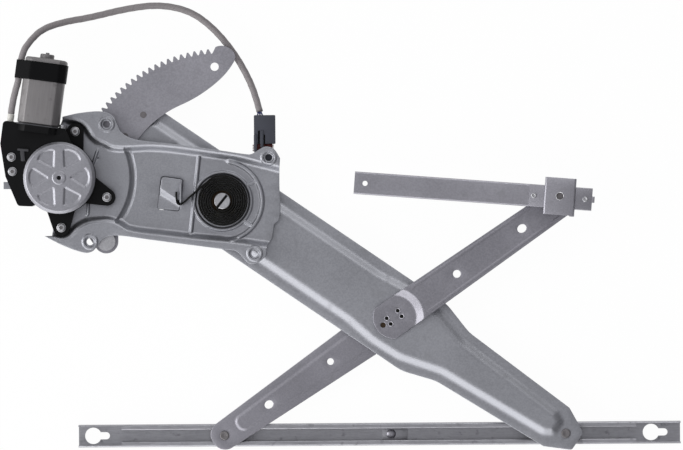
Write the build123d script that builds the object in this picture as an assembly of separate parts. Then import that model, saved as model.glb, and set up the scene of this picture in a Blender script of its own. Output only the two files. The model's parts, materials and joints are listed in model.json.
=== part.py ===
"""Cross-arm power window regulator of a car door, as separate pieces, in millimetres.

It lies with its motor side up, as in a workshop: +X runs along the glass channel, +Y is the way the
window goes up, and +Z points from the linkage to the motor. Every piece is drawn about the lift
pivot with z = 0 on the back of the glass channel. At the end it is moved so that the origin is at
the front upper bolt hole of the mounting plate, on the back face of the flange.
"""

import os
from math import acos, ceil, cos, degrees, pi, radians, sin, tan

from build123d import *

# Linkage: two arms that cross at their middles
HALF_ARM = 218.0          # pivot to crossing, and crossing to each shoe
REST_ANGLE = 34.5         # lift arm below the horizontal, in degrees
RUN_FIT = 0.05            # radial clearance of what turns
SEAT = 0.02               # radial clearance of what is pressed or riveted
SIDE_GAP = 0.3            # between faces that slide past each other

# Sheet thicknesses
PLATE_T = 1.8
ARM_T = 2.5
SECTOR_T = 3.0
LINK_T = 2.2
CHANNEL_T = 1.2

# Levels, counted from the back of the glass channel
CHANNEL_DEPTH = 12.0
LINK_Z = CHANNEL_DEPTH + 0.6             # lower equaliser arm
LINK_PANEL = 1.2                         # height of its raised panel
ARM_Z = LINK_Z + LINK_T + LINK_PANEL + 1.8
ARM_RISE = 4.5                           # flange to web of the lift arm
WEB_TOP = ARM_Z + ARM_RISE + ARM_T
SECTOR_Z = WEB_TOP                       # the sector is riveted on the web
PLATE_Z = SECTOR_Z + SECTOR_T + 1.0
PAD_RISE = 2.5                           # motor pad above the plate's web
PLATE_DEPTH = 9.0                        # web to flange of the mounting plate
FLANGE_Z = PLATE_Z + PLATE_DEPTH
PAD_TOP = PLATE_Z + PAD_RISE + PLATE_T
LINK_UP_Z = WEB_TOP + SIDE_GAP           # disc of the upper equaliser arm
LINK_STEP = 5.0                          # disc to body of that arm
RAIL_Z = LINK_UP_Z + LINK_STEP + LINK_T + 1.7

# Lift arm outline, across the arm and along it from the pivot, the crossing or the tip
ARM_HALF = 42.5
ARM_TAIL = 132.0
ARM_WIDE_PAST = 38.0      # full width past the crossing
ARM_NECK_RUN = 36.0       # from there to the neck
ARM_NECK_HALF = 31.0
ARM_TIP_HALF = 24.5
ARM_TIP_RUN = 27.0        # where the tip starts to narrow, back from the end
ARM_TIP = 15.0            # past the shoe's stud
ARM_END_HALF = 11.0
ARM_FLANGE = 10.8
ARM_SLOPE = 7.2

# Sector gear and pinion
GEAR_MODULE = 2.29
PINION_TEETH = 12
SECTOR_TEETH = 138        # on a full circle
PRESSURE_ANGLE = 25.0
BACKLASH = 0.25
PINION_ANGLE = 171.53     # of the pinion axis about the pivot
TOOTH_SHIFT = -0.77       # nearest sector tooth from the line of centres, in degrees
TEETH_BELOW = 3           # sector teeth past the pinion
TEETH_ABOVE = 29          # sector teeth up to the tail
SECTOR_INNER = 110.0
BUTTON_ANGLE = 198.8
BUTTON_REACH = 129.3
BUTTON_R = 9.7
BUTTON_PIN_R = 5.0
BUTTON_GROOVE = 2.5
SECTOR_END_ANGLE = 184.0  # where the toothed ring ends
SECTOR_LUG_R = 12.6       # of the lug that carries the button
SECTOR_RIVET_R = 3.4
SECTOR_RIVET_REACH = 123.0
SECTOR_RIVET_ANGLES = (132.2, 146.0, 159.0)
SECTOR_HOLE = (141.3, 93.0)   # radius and angle
SECTOR_HOLE_R = 4.4

# Glass channel
CHANNEL_H = 23.6
CHANNEL_LEFT = -154.0
CHANNEL_RIGHT = 480.8
CHANNEL_JOINT = 175.7
LIP_LEFT = -113.0
LIP_RIGHT = 438.2
LIP_OPENING = 12.0
KEYHOLE_R = 8.7
KEYSLOT_HALF = 3.8
KEYHOLE_LEFT = -138.8
KEYHOLE_RIGHT = 450.1
KEYSLOT_RUN = 17.5
TONGUE = 9.0
CHANNEL_RIVET_R = 3.2

# Equaliser arms
LINK_DISC_R = 22.5
LINK_STEP_R = 30.5
LINK_DISC_HALF = 19.5     # the upper arm's disc is cut off at its sides
HUB_R = 11.6
HUB_BORE_R = HUB_R + RUN_FIT
PEG_R = 1.8
STUD_R = 4.0
STUD_HEAD_R = 4.9
STUD_COLLAR_R = 5.6
STUD_COLLAR = 0.4
SHOE_HALF = 10.0
HUB_SPIGOT_R = 8.0
PEGS = [(7.0, 3.6), (7.0, -3.6), (-7.0, 3.6), (-7.0, -3.6)]

# Fixed rail, along and across it; what is at its right end is counted back from there
RAIL_LENGTH = 249.5
RAIL_TILT = 4.5
RAIL_START = (138.5, 18.2)
RAIL_DEPTH = 12.0
RAIL_HOLE = 11.3
RAIL_HOLE_R = 2.7
RAIL_RIVET_R = 2.0
DOUBLER_LENGTH = 66.0
DOUBLER_T = 1.0
RIVETS_BACK = (61.1, 7.3)
BRACKET_WIDE = 32.8
BRACKET_V = (-18.5, 20.4)
BRACKET_T = 2.0
BRACKET_LIFT = 1.2
BRACKET_BACK = 34.0       # its hole
BRACKET_HOLE_V = 1.2
BRACKET_HOLE_R = 3.6

# Mounting plate, about the pivot
PLATE_HOLES = {"front_upper": (-120.7, 81.2), "front_lower": (-138.9, -41.8),
               "rear_upper": (48.9, 45.2), "rear_lower": (33.6, -55.3)}
PLATE_HOLE_R = 3.6
DIMPLE_R = 7.2
DIMPLE_H = 1.0
PAD_R = 75.0
UPPER_WALL = [(-167.0, 86.5), (-161.8, 85.8), (-152.8, 84.1), (-146.7, 81.5), (-142.0, 76.6),
              (-137.8, 69.3), (-131.9, 63.8), (-122.9, 59.6), (-113.9, 55.6), (-96.2, 55.0),
              (-75.7, 55.8), (-50.7, 53.9), (-16.6, 49.0), (17.5, 43.7), (40.3, 37.8), (60.0, 32.6)]
LOWER_WALL = [(-178.8, -35.3), (-165.1, -36.4), (-151.4, -25.0), (-142.2, -20.1), (-131.0, -18.4),
              (-119.4, -18.1), (-108.1, -21.5), (-96.8, -27.8), (-62.7, -32.6), (-28.6, -36.8),
              (11.3, -41.0), (46.9, -45.9)]
UPPER_EDGE = [(60.9, 44.3), (56.4, 52.1), (52.7, 55.4), (45.3, 56.8), (39.9, 54.3), (33.1, 50.0),
              (28.5, 48.6), (-2.9, 53.2), (-50.0, 60.0), (-80.0, 63.5), (-95.0, 66.5),
              (-105.5, 73.0), (-109.5, 81.2), (-113.5, 89.5), (-124.4, 94.6), (-147.9, 93.4),
              (-167.0, 89.4)]
LOWER_EDGE = [(45.6, -57.9), (37.2, -64.8), (28.2, -66.0), (22.5, -61.1), (14.5, -53.0),
              (0.9, -50.7), (-51.3, -43.6), (-75.9, -40.2), (-113.9, -35.3), (-124.2, -38.5),
              (-131.1, -46.4), (-136.8, -52.1), (-144.7, -53.4), (-165.2, -46.5), (-186.7, -35.6)]
RIGHT_EDGE = [(46.9, -45.9), (51.7, -39.6), (54.6, -24.8), (59.2, -20.4), (60.9, -4.0), (60.0, 12.0),
              (60.0, 32.6)]
LEFT_EDGE = [(-167.0, 86.5), (-172.2, 76.8), (-180.0, 71.0), (-193.0, 50.0), (-198.0, 25.0),
             (-193.0, 2.0), (-178.0, -14.0), (-178.8, -35.3)]
WINDOW = [(-63.4, 26.1), (-40.7, 23.6), (-44.3, -9.4), (-68.7, -4.7)]
BEAD = [(-23.4, 44.1), (-34.8, -32.0)]
TAB_X = -43.0
TAB_Y = (-0.6, 21.0)

# Counterbalance spring and its arbor
ARBOR_R = 8.4
ARBOR_SLOT = 2.8
ARBOR_SLOT_ANGLE = 51.0
ARBOR_HEAD = 4.0          # how far its back head stands out
BUSH_WALL = 1.8
SPRING_WIRE = 1.5
SPRING_TURNS = 7         # whole turns past the first, counted from +X
SPRING_TAIL_ANGLE = 113.0
SPRING_OUTER = 26.4
SPRING_H = 7.5
SPRING_TAIL = [(-22.5, 14.3), (-42.6, -3.0), (-46.8, -2.4), (-48.2, 10.0)]

# Motor and gearbox
SCREWS = [(-153.7, 73.8), (-120.9, 4.7), (-168.8, -26.8)]
SCREW_R = 4.9
SCREW_SHANK = 2.6
SIDE_SCREWS = [(-219.7, 47.3), (-218.7, 32.2)]
SIDE_SHANK = 2.2
EAR_R = 8.8
EAR_H = 7.0
HOUSING_H = 21.0
PILOT_R = 19.0
HOUSING_BLOCK = [(-228.0, 85.7), (-231.3, 61.3), (-226.1, 27.1), (-213.2, -3.8), (-199.0, -4.4),
                 (-170.0, 10.0), (-152.0, 52.0), (-163.5, 76.3)]
RIB_T = [(-213.0, 56.2), (-201.8, 56.2), (-201.8, 53.6), (-213.0, 53.6)]
RIB_T_STEM = [(-210.4, 53.6), (-206.4, 53.6), (-205.4, 43.0), (-209.4, 43.0)]
RIB_H = 1.4
COVER_R = 37.7
COVER_H = 4.0
WHEEL_R = 25.8
WHEEL_T = 8.0
WORM_DISTANCE = 29.6
WORM_R = 4.8
SHAFT_R = 2.5
OUTPUT_R = 5.0
MOTOR_TILT = 82.05        # of the motor's axis from +X, in degrees
CAN_START = 51.8          # along the motor's axis, from the wheel's middle
CAN_LENGTH = 70.0
CAN_R = 21.8
CAN_FLAT = 36.0
CAN_T = 1.8
CAN_SCREWS = [(25.8, 5.0), (25.8, -6.0)]   # across the axis and up
BEARING_R = 5.0
NOSE_R = 7.4
NOSE_H = 4.8
MOUTH_WALL = 1.0          # of the housing's collar round the can's end
MOUTH_RUN = 8.0
WORM_BEARING_R = 9.0
BAND_FROM = 98.0
BAND_TO = 117.3
BAND_T = 1.3

# Harness
GROMMET_R = 3.6
GROMMET_ACROSS = -29.6
CORD_R = 3.6
CORD_BESIDE = 26.2        # from the motor's axis, under the band
CORD_ROUTE = [(-220.4, 92.7, 44.1), (-218.2, 108.5, 44.1), (-211.6, 130.0, 44.1),
              (-208.7, 155.5, 44.1), (-201.2, 168.0, 41.0), (-187.5, 182.0, 35.0),
              (-164.0, 189.6, 28.0), (-138.0, 193.8, 22.5), (-101.0, 203.0, 18.5),
              (-66.0, 207.4, 17.5), (-33.0, 200.5, 19.0), (-9.0, 182.5, 20.2),
              (12.0, 157.5, 20.2), (27.0, 131.5, 21.0), (35.5, 110.5, 25.2), (39.7, 93.6, 30.0)]
PLUG_X = (33.6, 56.1)
PLUG_Y = (59.5, 89.8)
PLUG_Z = (26.2, 37.0)


def polar(radius, angle):
    """A point at a radius and an angle in degrees about the pivot."""
    return (radius * cos(radians(angle)), radius * sin(radians(angle)))


# Worked out from the sizes above
PIVOT = (0.0, 0.0)
CROSS = polar(HALF_ARM, -REST_ANGLE)
ARM_WIDE_END = HALF_ARM + ARM_WIDE_PAST
ARM_NECK = ARM_WIDE_END + ARM_NECK_RUN
ARM_END = 2 * HALF_ARM + ARM_TIP
ARM_PIN = polar(2 * HALF_ARM, -REST_ANGLE)
LINK_PIN = (0.0, 2 * CROSS[1])
UPPER_PIN = (2 * CROSS[0], 0.0)
CHANNEL_Y = 2 * CROSS[1]
CENTRE_DISTANCE = GEAR_MODULE * (PINION_TEETH + SECTOR_TEETH) / 2
PINION = polar(CENTRE_DISTANCE, PINION_ANGLE)
BUTTON = polar(BUTTON_REACH, BUTTON_ANGLE)
SECTOR_RIVETS = [polar(SECTOR_RIVET_REACH, angle) for angle in SECTOR_RIVET_ANGLES]
ORIGIN = (*PLATE_HOLES["front_upper"], FLANGE_Z)
HOUSING_TOP = PAD_TOP + HOUSING_H
WHEEL_Z = PAD_TOP + 7.0
WORM_Z = WHEEL_Z + WHEEL_T / 2
BUSH_R = OUTPUT_R + RUN_FIT + 2.2
SPRING_Z = PLATE_Z + PLATE_T + 1.2
SPRING_TOP = SPRING_Z + SPRING_H
PLATE_BORE_R = ARBOR_R + RUN_FIT + BUSH_WALL
LINK_BODY_Z = LINK_UP_Z + LINK_STEP
SHOE_Z = CHANNEL_T + SIDE_GAP
UP_SHOE_Z = RAIL_Z + CHANNEL_T + SIDE_GAP
DOUBLER_RIVETS = [RAIL_LENGTH - back for back in RIVETS_BACK]
BRACKET_HOLE = (RAIL_LENGTH - BRACKET_BACK, BRACKET_HOLE_V)
BRACKET_U = (BRACKET_HOLE[0] - BRACKET_WIDE / 2, BRACKET_HOLE[0] + BRACKET_WIDE / 2)
LIFT = Location((0, 0, 0), (0, 0, -REST_ANGLE))
LINK = Pos(*CROSS) * Rot(0, 0, REST_ANGLE)
RAIL = Pos(*RAIL_START) * Rot(0, 0, -RAIL_TILT)


def area(points):
    """A flat face inside straight lines."""
    return make_face(Polyline(*points, close=True))


def rounded_area(points, radii):
    """A flat face inside straight lines with rounded corners, one radius for each corner."""
    return make_face(FilletPolyline(*points, radius=radii, close=True))


def closed(*curves):
    """A flat face inside curves that meet end to end."""
    return make_face(Wire([edge for curve in curves for edge in curve.edges()]))


def slab(face, bottom, height):
    """A face made solid from a level upward."""
    return extrude(Pos(0, 0, bottom) * face, height, dir=(0, 0, 1))


def rod(centre, radius, bottom, top):
    """An upright cylinder between two levels."""
    height = top - bottom
    return Pos(centre[0], centre[1], bottom + height / 2) * Cylinder(radius, height)


def block(x, y, z):
    """A box given by its two ends along each axis."""
    size = [ends[1] - ends[0] for ends in (x, y, z)]
    middle = [(ends[0] + ends[1]) / 2 for ends in (x, y, z)]
    return Pos(*middle) * Box(*size)


def pressed(outline, foot, level, thickness, rise, slope):
    """A sheet with a raised web: the foot of its slope is a face, and the web is inset by the slope."""
    inset = offset(foot, -slope)
    lower = offset(foot, -thickness * 0.9)
    upper = offset(foot, -slope - thickness * 0.4)
    raised = loft([Pos(0, 0, level) * foot, Pos(0, 0, level + rise + thickness) * inset], ruled=True)
    hollow = loft([Pos(0, 0, level) * lower, Pos(0, 0, level + rise) * upper], ruled=True)
    return slab(outline, level, thickness) + raised - hollow


def rivet(centre, shank, head, bottom, top, head_height):
    """A shank between two levels with a domed head on top."""
    dome = rod(centre, head, top, top + head_height)
    dome = fillet(dome.edges().group_by(Axis.Z)[-1], head_height * 0.6)
    return rod(centre, shank, bottom, top) + dome


def involute(angle):
    """The involute function of an angle in radians."""
    return tan(angle) - angle


def tooth_half(radius, teeth):
    """Half a tooth's angle at a radius, in degrees, thinned by its share of the backlash."""
    pitch = GEAR_MODULE * teeth / 2
    base = pitch * cos(radians(PRESSURE_ANGLE))
    at_pitch = pi / (2 * teeth) - BACKLASH / 4 / pitch + involute(radians(PRESSURE_ANGLE))
    return degrees(at_pitch - involute(acos(min(1.0, base / max(radius, base)))))


def tooth_edges(middle, root, tip, teeth):
    """One tooth about the origin, from its clockwise root to its other root."""
    mean = (max(root, GEAR_MODULE * teeth / 2 * cos(radians(PRESSURE_ANGLE))) + tip) / 2
    start = [polar(r, middle - tooth_half(r, teeth)) for r in (root, mean, tip)]
    end = [polar(r, middle + tooth_half(r, teeth)) for r in (tip, mean, root)]
    return [ThreePointArc(*start), Line(start[2], end[0]), ThreePointArc(*end)]


def toothed_edges(middles, root, tip, teeth):
    """Teeth in a row with straight roots between them."""
    edges = []
    for middle in middles:
        tooth = tooth_edges(middle, root, tip, teeth)
        if edges:
            edges.append(Line(edges[-1] @ 1, tooth[0] @ 0))
        edges.extend(tooth)
    return edges


def pinion_face():
    """The pinion's outline, turned so that it meshes with the sector at rest."""
    pitch = GEAR_MODULE * PINION_TEETH / 2
    gap = PINION_ANGLE + 180 - TOOTH_SHIFT * SECTOR_TEETH / PINION_TEETH
    middles = [gap + 360 / PINION_TEETH * (k + 0.5) for k in range(PINION_TEETH)]
    edges = toothed_edges(middles, pitch - 2.5, pitch + 0.95 * GEAR_MODULE, PINION_TEETH)
    return closed(*edges, Line(edges[-1] @ 1, edges[0] @ 0))


def sector_face():
    """The sector gear: teeth, a rounded tail, an inner edge and a lug round the guide button."""
    pitch = GEAR_MODULE * SECTOR_TEETH / 2
    root = pitch - 1.2 * GEAR_MODULE
    step = 360 / SECTOR_TEETH
    first = PINION_ANGLE + TOOTH_SHIFT
    middles = [first + step * k for k in range(-TEETH_ABOVE, TEETH_BELOW + 1)]
    teeth = toothed_edges(middles, root, pitch + 0.9 * GEAR_MODULE, SECTOR_TEETH)
    tail = [polar(root, 93.6), polar(162.0, 92.2), polar(163.0, 89.3), polar(159.5, 86.3), polar(152.0, 84.5)]
    inner = [polar(147.0, 84.9), polar(132.7, 88.7), polar(120.0, 95.7), polar(112.3, 104.4),
             polar(SECTOR_INNER, 113.6)]
    far_in = polar(SECTOR_INNER, SECTOR_END_ANGLE)
    far_out = polar(root, SECTOR_END_ANGLE)
    ring = closed(*teeth, RadiusArc(teeth[-1] @ 1, far_out, -root), Line(far_out, far_in),
                  RadiusArc(far_in, inner[-1], SECTOR_INNER), Spline(*reversed(inner)),
                  Line(inner[0], tail[-1]), Spline(*reversed(tail[1:])), Line(tail[1], tail[0]),
                  Line(tail[0], teeth[0] @ 0))
    end = Pos(*polar((SECTOR_INNER + root) / 2, SECTOR_END_ANGLE)) * Circle((root - SECTOR_INNER) / 2 - 0.1)
    lug = Pos(*BUTTON) * Circle(SECTOR_LUG_R)
    return ring + make_hull([*end.edges(), *lug.edges()])


def sector_gear():
    """Toothed plate riveted on the lift arm."""
    gear = slab(sector_face(), SECTOR_Z, SECTOR_T)
    top = SECTOR_Z + SECTOR_T + 1
    gear -= rod(polar(*SECTOR_HOLE), SECTOR_HOLE_R, SECTOR_Z - 1, top)
    for place in SECTOR_RIVETS:
        gear -= rod(place, SECTOR_RIVET_R + SEAT, SECTOR_Z - 1, top)
    return gear - rod(BUTTON, BUTTON_PIN_R + SEAT, SECTOR_Z - 1, top)


def sector_rivets():
    """Flush rivets between the sector and the lift arm."""
    bottom = ARM_Z + ARM_RISE - 1.2
    return [rod(place, SECTOR_RIVET_R, bottom, SECTOR_Z + SECTOR_T + 0.4) for place in SECTOR_RIVETS]


def guide_button():
    """Spool at the sector's end, which stops the arm against the plate and keeps the sector flat."""
    shank = rod(BUTTON, BUTTON_PIN_R, ARM_Z, SECTOR_Z + SECTOR_T)
    back = rod(BUTTON, BUTTON_R, ARM_Z, SECTOR_Z)
    front = rod(BUTTON, BUTTON_R, SECTOR_Z + SECTOR_T, FLANGE_Z - 2.0)
    waist = rod(BUTTON, BUTTON_R + 1, SECTOR_Z + SECTOR_T + 2.2, FLANGE_Z - 4.2)
    waist -= rod(BUTTON, BUTTON_R - BUTTON_GROOVE, SECTOR_Z, FLANGE_Z)
    return back + shank + front - waist


def lift_outline(inset=0.0):
    """The lift arm's outline in its own frame, with the pivot at the origin."""
    upper = [(-ARM_TAIL, ARM_HALF), (ARM_WIDE_END, ARM_HALF), (ARM_NECK, ARM_NECK_HALF),
             (ARM_END - ARM_TIP_RUN, ARM_TIP_HALF), (ARM_END, ARM_END_HALF)]
    lower = [(u, -v) for u, v in reversed(upper)]
    radii = [28.0, 40.0, 40.0, 5.0, 4.0]
    return rounded_area(upper + lower, radii + radii[::-1])


def lift_foot():
    """Foot of the raised web's slope, which widens round the crossing."""
    wide = ARM_HALF - ARM_FLANGE
    upper = [(-ARM_TAIL + 12, wide), (HALF_ARM - 40, wide), (HALF_ARM - 6, wide + 4),
             (ARM_WIDE_END - 10, wide + 3), (ARM_NECK, 22.0), (ARM_END - 35, 15.0), (ARM_END - 23, 8.5)]
    lower = [(u, -v) for u, v in reversed(upper)]
    radii = [20.0, 40.0, 40.0, 40.0, 40.0, 12.0, 8.0]
    return rounded_area(upper + lower, radii + radii[::-1])


def lift_arm():
    """Pressed main arm from the sector to the shoe at its far end."""
    arm = LIFT * pressed(lift_outline(), lift_foot(), ARM_Z, ARM_T, ARM_RISE, ARM_SLOPE)
    top = WEB_TOP + 1
    arm -= rod(CROSS, HUB_BORE_R, ARM_Z - 1, top)
    arm -= rod(PIVOT, ARBOR_R + SEAT, ARM_Z - 1, top)
    arm -= rod(ARM_PIN, STUD_R + SEAT, ARM_Z - 1, top)
    for place in SECTOR_RIVETS:
        arm -= rod(place, SECTOR_RIVET_R + SEAT, ARM_Z - 1, top)
    return arm


def pivot_arbor():
    """Shouldered arbor fixed in the lift arm, with a slot for the spring's inner end."""
    arbor = rod(PIVOT, ARBOR_R, ARM_Z + 0.4, SPRING_TOP + 0.8)
    arbor += rod(PIVOT, ARBOR_R + ARBOR_HEAD, ARM_Z + 0.4, ARM_Z + ARM_RISE)
    slot = Rot(0, 0, ARBOR_SLOT_ANGLE) * block((-ARBOR_R - 1, ARBOR_R + 1), (-ARBOR_SLOT / 2, ARBOR_SLOT / 2),
                                              (SPRING_Z - 0.4, SPRING_TOP + 2))
    return chamfer(arbor.edges().group_by(Axis.Z)[-1], 0.6) - slot


def pivot_washer():
    """Washer between the lift arm and the plate, on the arbor."""
    washer = rod(PIVOT, 17.0, WEB_TOP, PLATE_Z - SIDE_GAP)
    return washer - rod(PIVOT, ARBOR_R + SEAT, WEB_TOP - 1, PLATE_Z + 1)


def pivot_bush():
    """Flanged bush of the plate, in which the arbor turns."""
    bush = rod(PIVOT, PLATE_BORE_R, PLATE_Z, PLATE_Z + PLATE_T)
    bush += rod(PIVOT, PLATE_BORE_R + 2.0, PLATE_Z + PLATE_T, SPRING_Z - 0.2)
    return bush - rod(PIVOT, ARBOR_R + RUN_FIT, PLATE_Z - 1, SPRING_Z + 1)


def spiral(sweep, inner, outer, width):
    """A flat spiral strip from angle 0, of half rings whose centres shift by their growth."""
    growth = (outer - inner) / (sweep / 180)
    strip = None
    for k in range(ceil(sweep / 180)):
        radius = inner + growth * (k + 0.5)
        part = min(180.0, sweep - 180 * k)
        far = CenterArc((0, 0), radius + width / 2, 0, part)
        near = CenterArc((0, 0), radius - width / 2, 0, part)
        ring = closed(far, Line(far @ 1, near @ 1), near, Line(near @ 0, far @ 0))
        odd = k % 2
        piece = Pos(growth * (odd - 0.5), 0) * Rot(0, 0, 180 * odd) * ring
        strip = piece if strip is None else strip + piece
    return strip


def counterbalance_spring():
    """Spiral spring from the arbor's slot to the plate's tab."""
    inner = ARBOR_R + 1.6
    start = ARBOR_SLOT_ANGLE + 180
    sweep = 360 * SPRING_TURNS + SPRING_TAIL_ANGLE - start
    coil = Rot(0, 0, start) * spiral(sweep, inner, SPRING_OUTER, SPRING_WIRE)
    tongue = Rot(0, 0, start) * Pos(inner / 2 - 3, 0) * Rectangle(inner + 6, SPRING_WIRE)
    tail = trace(Polyline(polar(SPRING_OUTER, SPRING_TAIL_ANGLE), *SPRING_TAIL), SPRING_WIRE)
    return slab(coil + tongue + tail, SPRING_Z, SPRING_H)


def wall_along(points):
    """An upright wall of the plate's thickness along a line, from the web to the flange."""
    line = trace(Spline(*points), PLATE_T)
    return slab(line, PLATE_Z, PLATE_DEPTH + PLATE_T)


def plate_web():
    """The flat middle of the mounting plate, between its two walls."""
    return closed(Spline(*UPPER_WALL), Polyline(*reversed(RIGHT_EDGE)), Spline(*reversed(LOWER_WALL)),
                  Polyline(*reversed(LEFT_EDGE)))


def plate_flange(wall, edge):
    """A flange between the top of a wall and the plate's outer edge."""
    return closed(Spline(*wall), Polyline(wall[-1], edge[0]), Spline(*edge), Polyline(edge[-1], wall[0]))


def bolt_bosses(plate):
    """Raised dimples with the door bolts' holes."""
    for place in PLATE_HOLES.values():
        plate += rod(place, DIMPLE_R, FLANGE_Z, FLANGE_Z + PLATE_T + DIMPLE_H)
    for place in PLATE_HOLES.values():
        plate -= rod(place, PLATE_HOLE_R, FLANGE_Z - 1, FLANGE_Z + PLATE_T + DIMPLE_H + 1)
    return plate


def plate_beads():
    """Low beads round the spring and across the web."""
    top = PLATE_Z + PLATE_T
    ring = rod(PIVOT, 32.3, top - 0.5, top + 1.0) - rod(PIVOT, 29.4, top - 1, top + 2)
    across = slab(trace(Line(*BEAD), 3.4), top - 0.5, 1.5)
    across -= rod(PIVOT, 30.5, top - 1, top + 2)
    return ring + across


def spring_tab():
    """The tab bent up from the plate's window, which the spring hooks on."""
    top = PLATE_Z + PLATE_T
    ramp = block((TAB_X - 26, TAB_X), TAB_Y, (PLATE_Z, top))
    upright = block((TAB_X - PLATE_T, TAB_X), TAB_Y, (PLATE_Z, SPRING_TOP - 0.5))
    return ramp + upright


def mounting_plate():
    """Pressed plate that carries the motor, the lift pivot and the spring, and bolts to the door."""
    pad = Pos(*PINION) * Circle(PAD_R)
    rim = Pos(*PINION) * (Circle(PAD_R) - Circle(PAD_R - PLATE_T))
    web = plate_web()
    plate = slab(web - pad, PLATE_Z, PLATE_T)
    plate += slab(web & pad, PLATE_Z + PAD_RISE, PLATE_T)
    plate += slab(web & rim, PLATE_Z, PAD_RISE + PLATE_T)
    for wall, edge in ((UPPER_WALL, UPPER_EDGE), (LOWER_WALL, LOWER_EDGE)):
        plate += wall_along(wall)
        plate += slab(plate_flange(wall, edge), FLANGE_Z, PLATE_T)
    plate += plate_beads()
    window = slab(rounded_area(WINDOW, 3.0), PLATE_Z - 1, 10)
    plate = bolt_bosses(plate) - window + spring_tab()
    plate -= rod(PIVOT, PLATE_BORE_R + SEAT, PLATE_Z - 1, PLATE_Z + PLATE_T + 3)
    plate -= rod(PINION, PILOT_R + SEAT, PLATE_Z - 1, PAD_TOP + 1)
    for place in SCREWS:
        plate -= rod(place, 3.0 + SEAT, PLATE_Z - 1, PAD_TOP + 1)
    return plate


def motor_axis(distance, across=0.0, up=0.0):
    """A place on or beside the motor's axis, with +Z along that axis and +X across it."""
    along = radians(MOTOR_TILT)
    foot = (PINION[0] - WORM_DISTANCE * sin(along), PINION[1] + WORM_DISTANCE * cos(along))
    x = foot[0] + distance * cos(along) + across * sin(along)
    y = foot[1] + distance * sin(along) - across * cos(along)
    return Location(Plane((x, y, WORM_Z + up), x_dir=(sin(along), -cos(along), 0),
                          z_dir=(cos(along), sin(along), 0)))


def axial(radius, start, end, across=0.0, up=0.0):
    """A cylinder along the motor's axis between two distances."""
    return motor_axis((start + end) / 2, across, up) * Cylinder(radius, end - start)


def can_section(grow=0.0):
    """The motor can's section: round with two flats."""
    flats = Rectangle(2 * (CAN_R + grow), CAN_FLAT + 2 * grow)
    return Circle(CAN_R + grow) & flats


def ear(place):
    """A tapered arm of the housing that reaches out to one mounting screw."""
    outline = make_hull([*(Pos(*place) * Circle(EAR_R)).edges(), *(Pos(*PINION) * Circle(24.0)).edges()])
    return slab(outline, PAD_TOP, EAR_H)


def mouth_collar():
    """Collar of the housing, as wide as the motor can's end and as deep as the housing's foot."""
    collar = motor_axis(CAN_START - MOUTH_RUN) * extrude(can_section(MOUTH_WALL), MOUTH_RUN)
    x, y = motor_axis(CAN_START).position.X, motor_axis(CAN_START).position.Y
    return collar & block((x - 40, x + 40), (y - 40, y + 40), (PAD_TOP, HOUSING_TOP + CAN_R))


def motor_gear_housing():
    """Moulded gearbox housing with three ears, open towards the cover and the motor can."""
    body = slab(rounded_area(HOUSING_BLOCK, 4.0), PAD_TOP, HOUSING_H)
    body += rod(PINION, COVER_R, PAD_TOP, HOUSING_TOP)
    for place in SCREWS:
        body += ear(place)
    body += rod(PINION, PILOT_R, PAD_TOP - PLATE_T, PAD_TOP)
    body += slab(area(RIB_T) + area(RIB_T_STEM), HOUSING_TOP, RIB_H)
    body -= rod(PINION, WHEEL_R + 1.6, WHEEL_Z - 2.0, HOUSING_TOP + 3)
    body -= rod(PINION, BUSH_R + SEAT, PAD_TOP - 4, HOUSING_TOP)
    body -= axial(WORM_R + 1.2, -22, CAN_START + 1)
    body += mouth_collar()
    body -= axial(WORM_R + 1.2, CAN_START - MOUTH_RUN - 1, CAN_START + 1)
    body -= axial(WORM_BEARING_R, CAN_START - 14, CAN_START + 1)
    for place in SCREWS:
        body -= rod(place, SCREW_SHANK + SEAT, PAD_TOP - 4, HOUSING_TOP + 3)
    for place in SIDE_SCREWS:
        body -= rod(place, SIDE_SHANK + SEAT, HOUSING_TOP - 10, HOUSING_TOP + 3)
    for across, up in CAN_SCREWS:
        body -= axial(1.8 + SEAT, CAN_START - 12, CAN_START + 1, across, up)
    body -= motor_axis(CAN_START, GROMMET_ACROSS) * Cylinder(GROMMET_R + SEAT, 8)
    return body


def gear_cover():
    """Steel disc over the gearbox, with six pressed pockets between its spokes."""
    cover = rod(PINION, COVER_R, HOUSING_TOP, HOUSING_TOP + COVER_H)
    cover = fillet(cover.edges().group_by(Axis.Z)[-1], 2.0)
    top = HOUSING_TOP + COVER_H
    for k in range(6):
        middle = 60 * k
        corners = [(11.6, -12), (29.5, -23), (32.0, 0), (29.5, 23), (11.6, 12)]
        face = rounded_area([polar(radius, middle + turn) for radius, turn in corners], 2.2)
        cover -= slab(Pos(*PINION) * face, top - 1.1, 3)
    cover += rod(PINION, 6.8, top, top + 0.8)
    cover -= rod(PINION, OUTPUT_R + 2.0, HOUSING_TOP - 1, HOUSING_TOP + 2.2)
    return cover - rod(PINION, 2.3, HOUSING_TOP - 1, top + 3)


def motor_can():
    """Drawn steel can with two flats and a bearing nose at its closed end."""
    end = CAN_START + CAN_LENGTH
    can = motor_axis(CAN_START) * extrude(can_section(), CAN_LENGTH)
    can -= motor_axis(CAN_START) * Pos(0, 0, -1) * extrude(can_section(-CAN_T), CAN_LENGTH - CAN_T + 1)
    can += axial(NOSE_R, end, end + NOSE_H) + axial(2.0, end + NOSE_H, end + NOSE_H + 1.6)
    return can - axial(BEARING_R + SEAT, end - CAN_T - 1, end + 3.0)


def can_bearing():
    """Plain bearing in the can's nose."""
    end = CAN_START + CAN_LENGTH
    return axial(BEARING_R, end - 1.0, end + 3.0) - axial(SHAFT_R + RUN_FIT, end - 2, end + 4)


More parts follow.
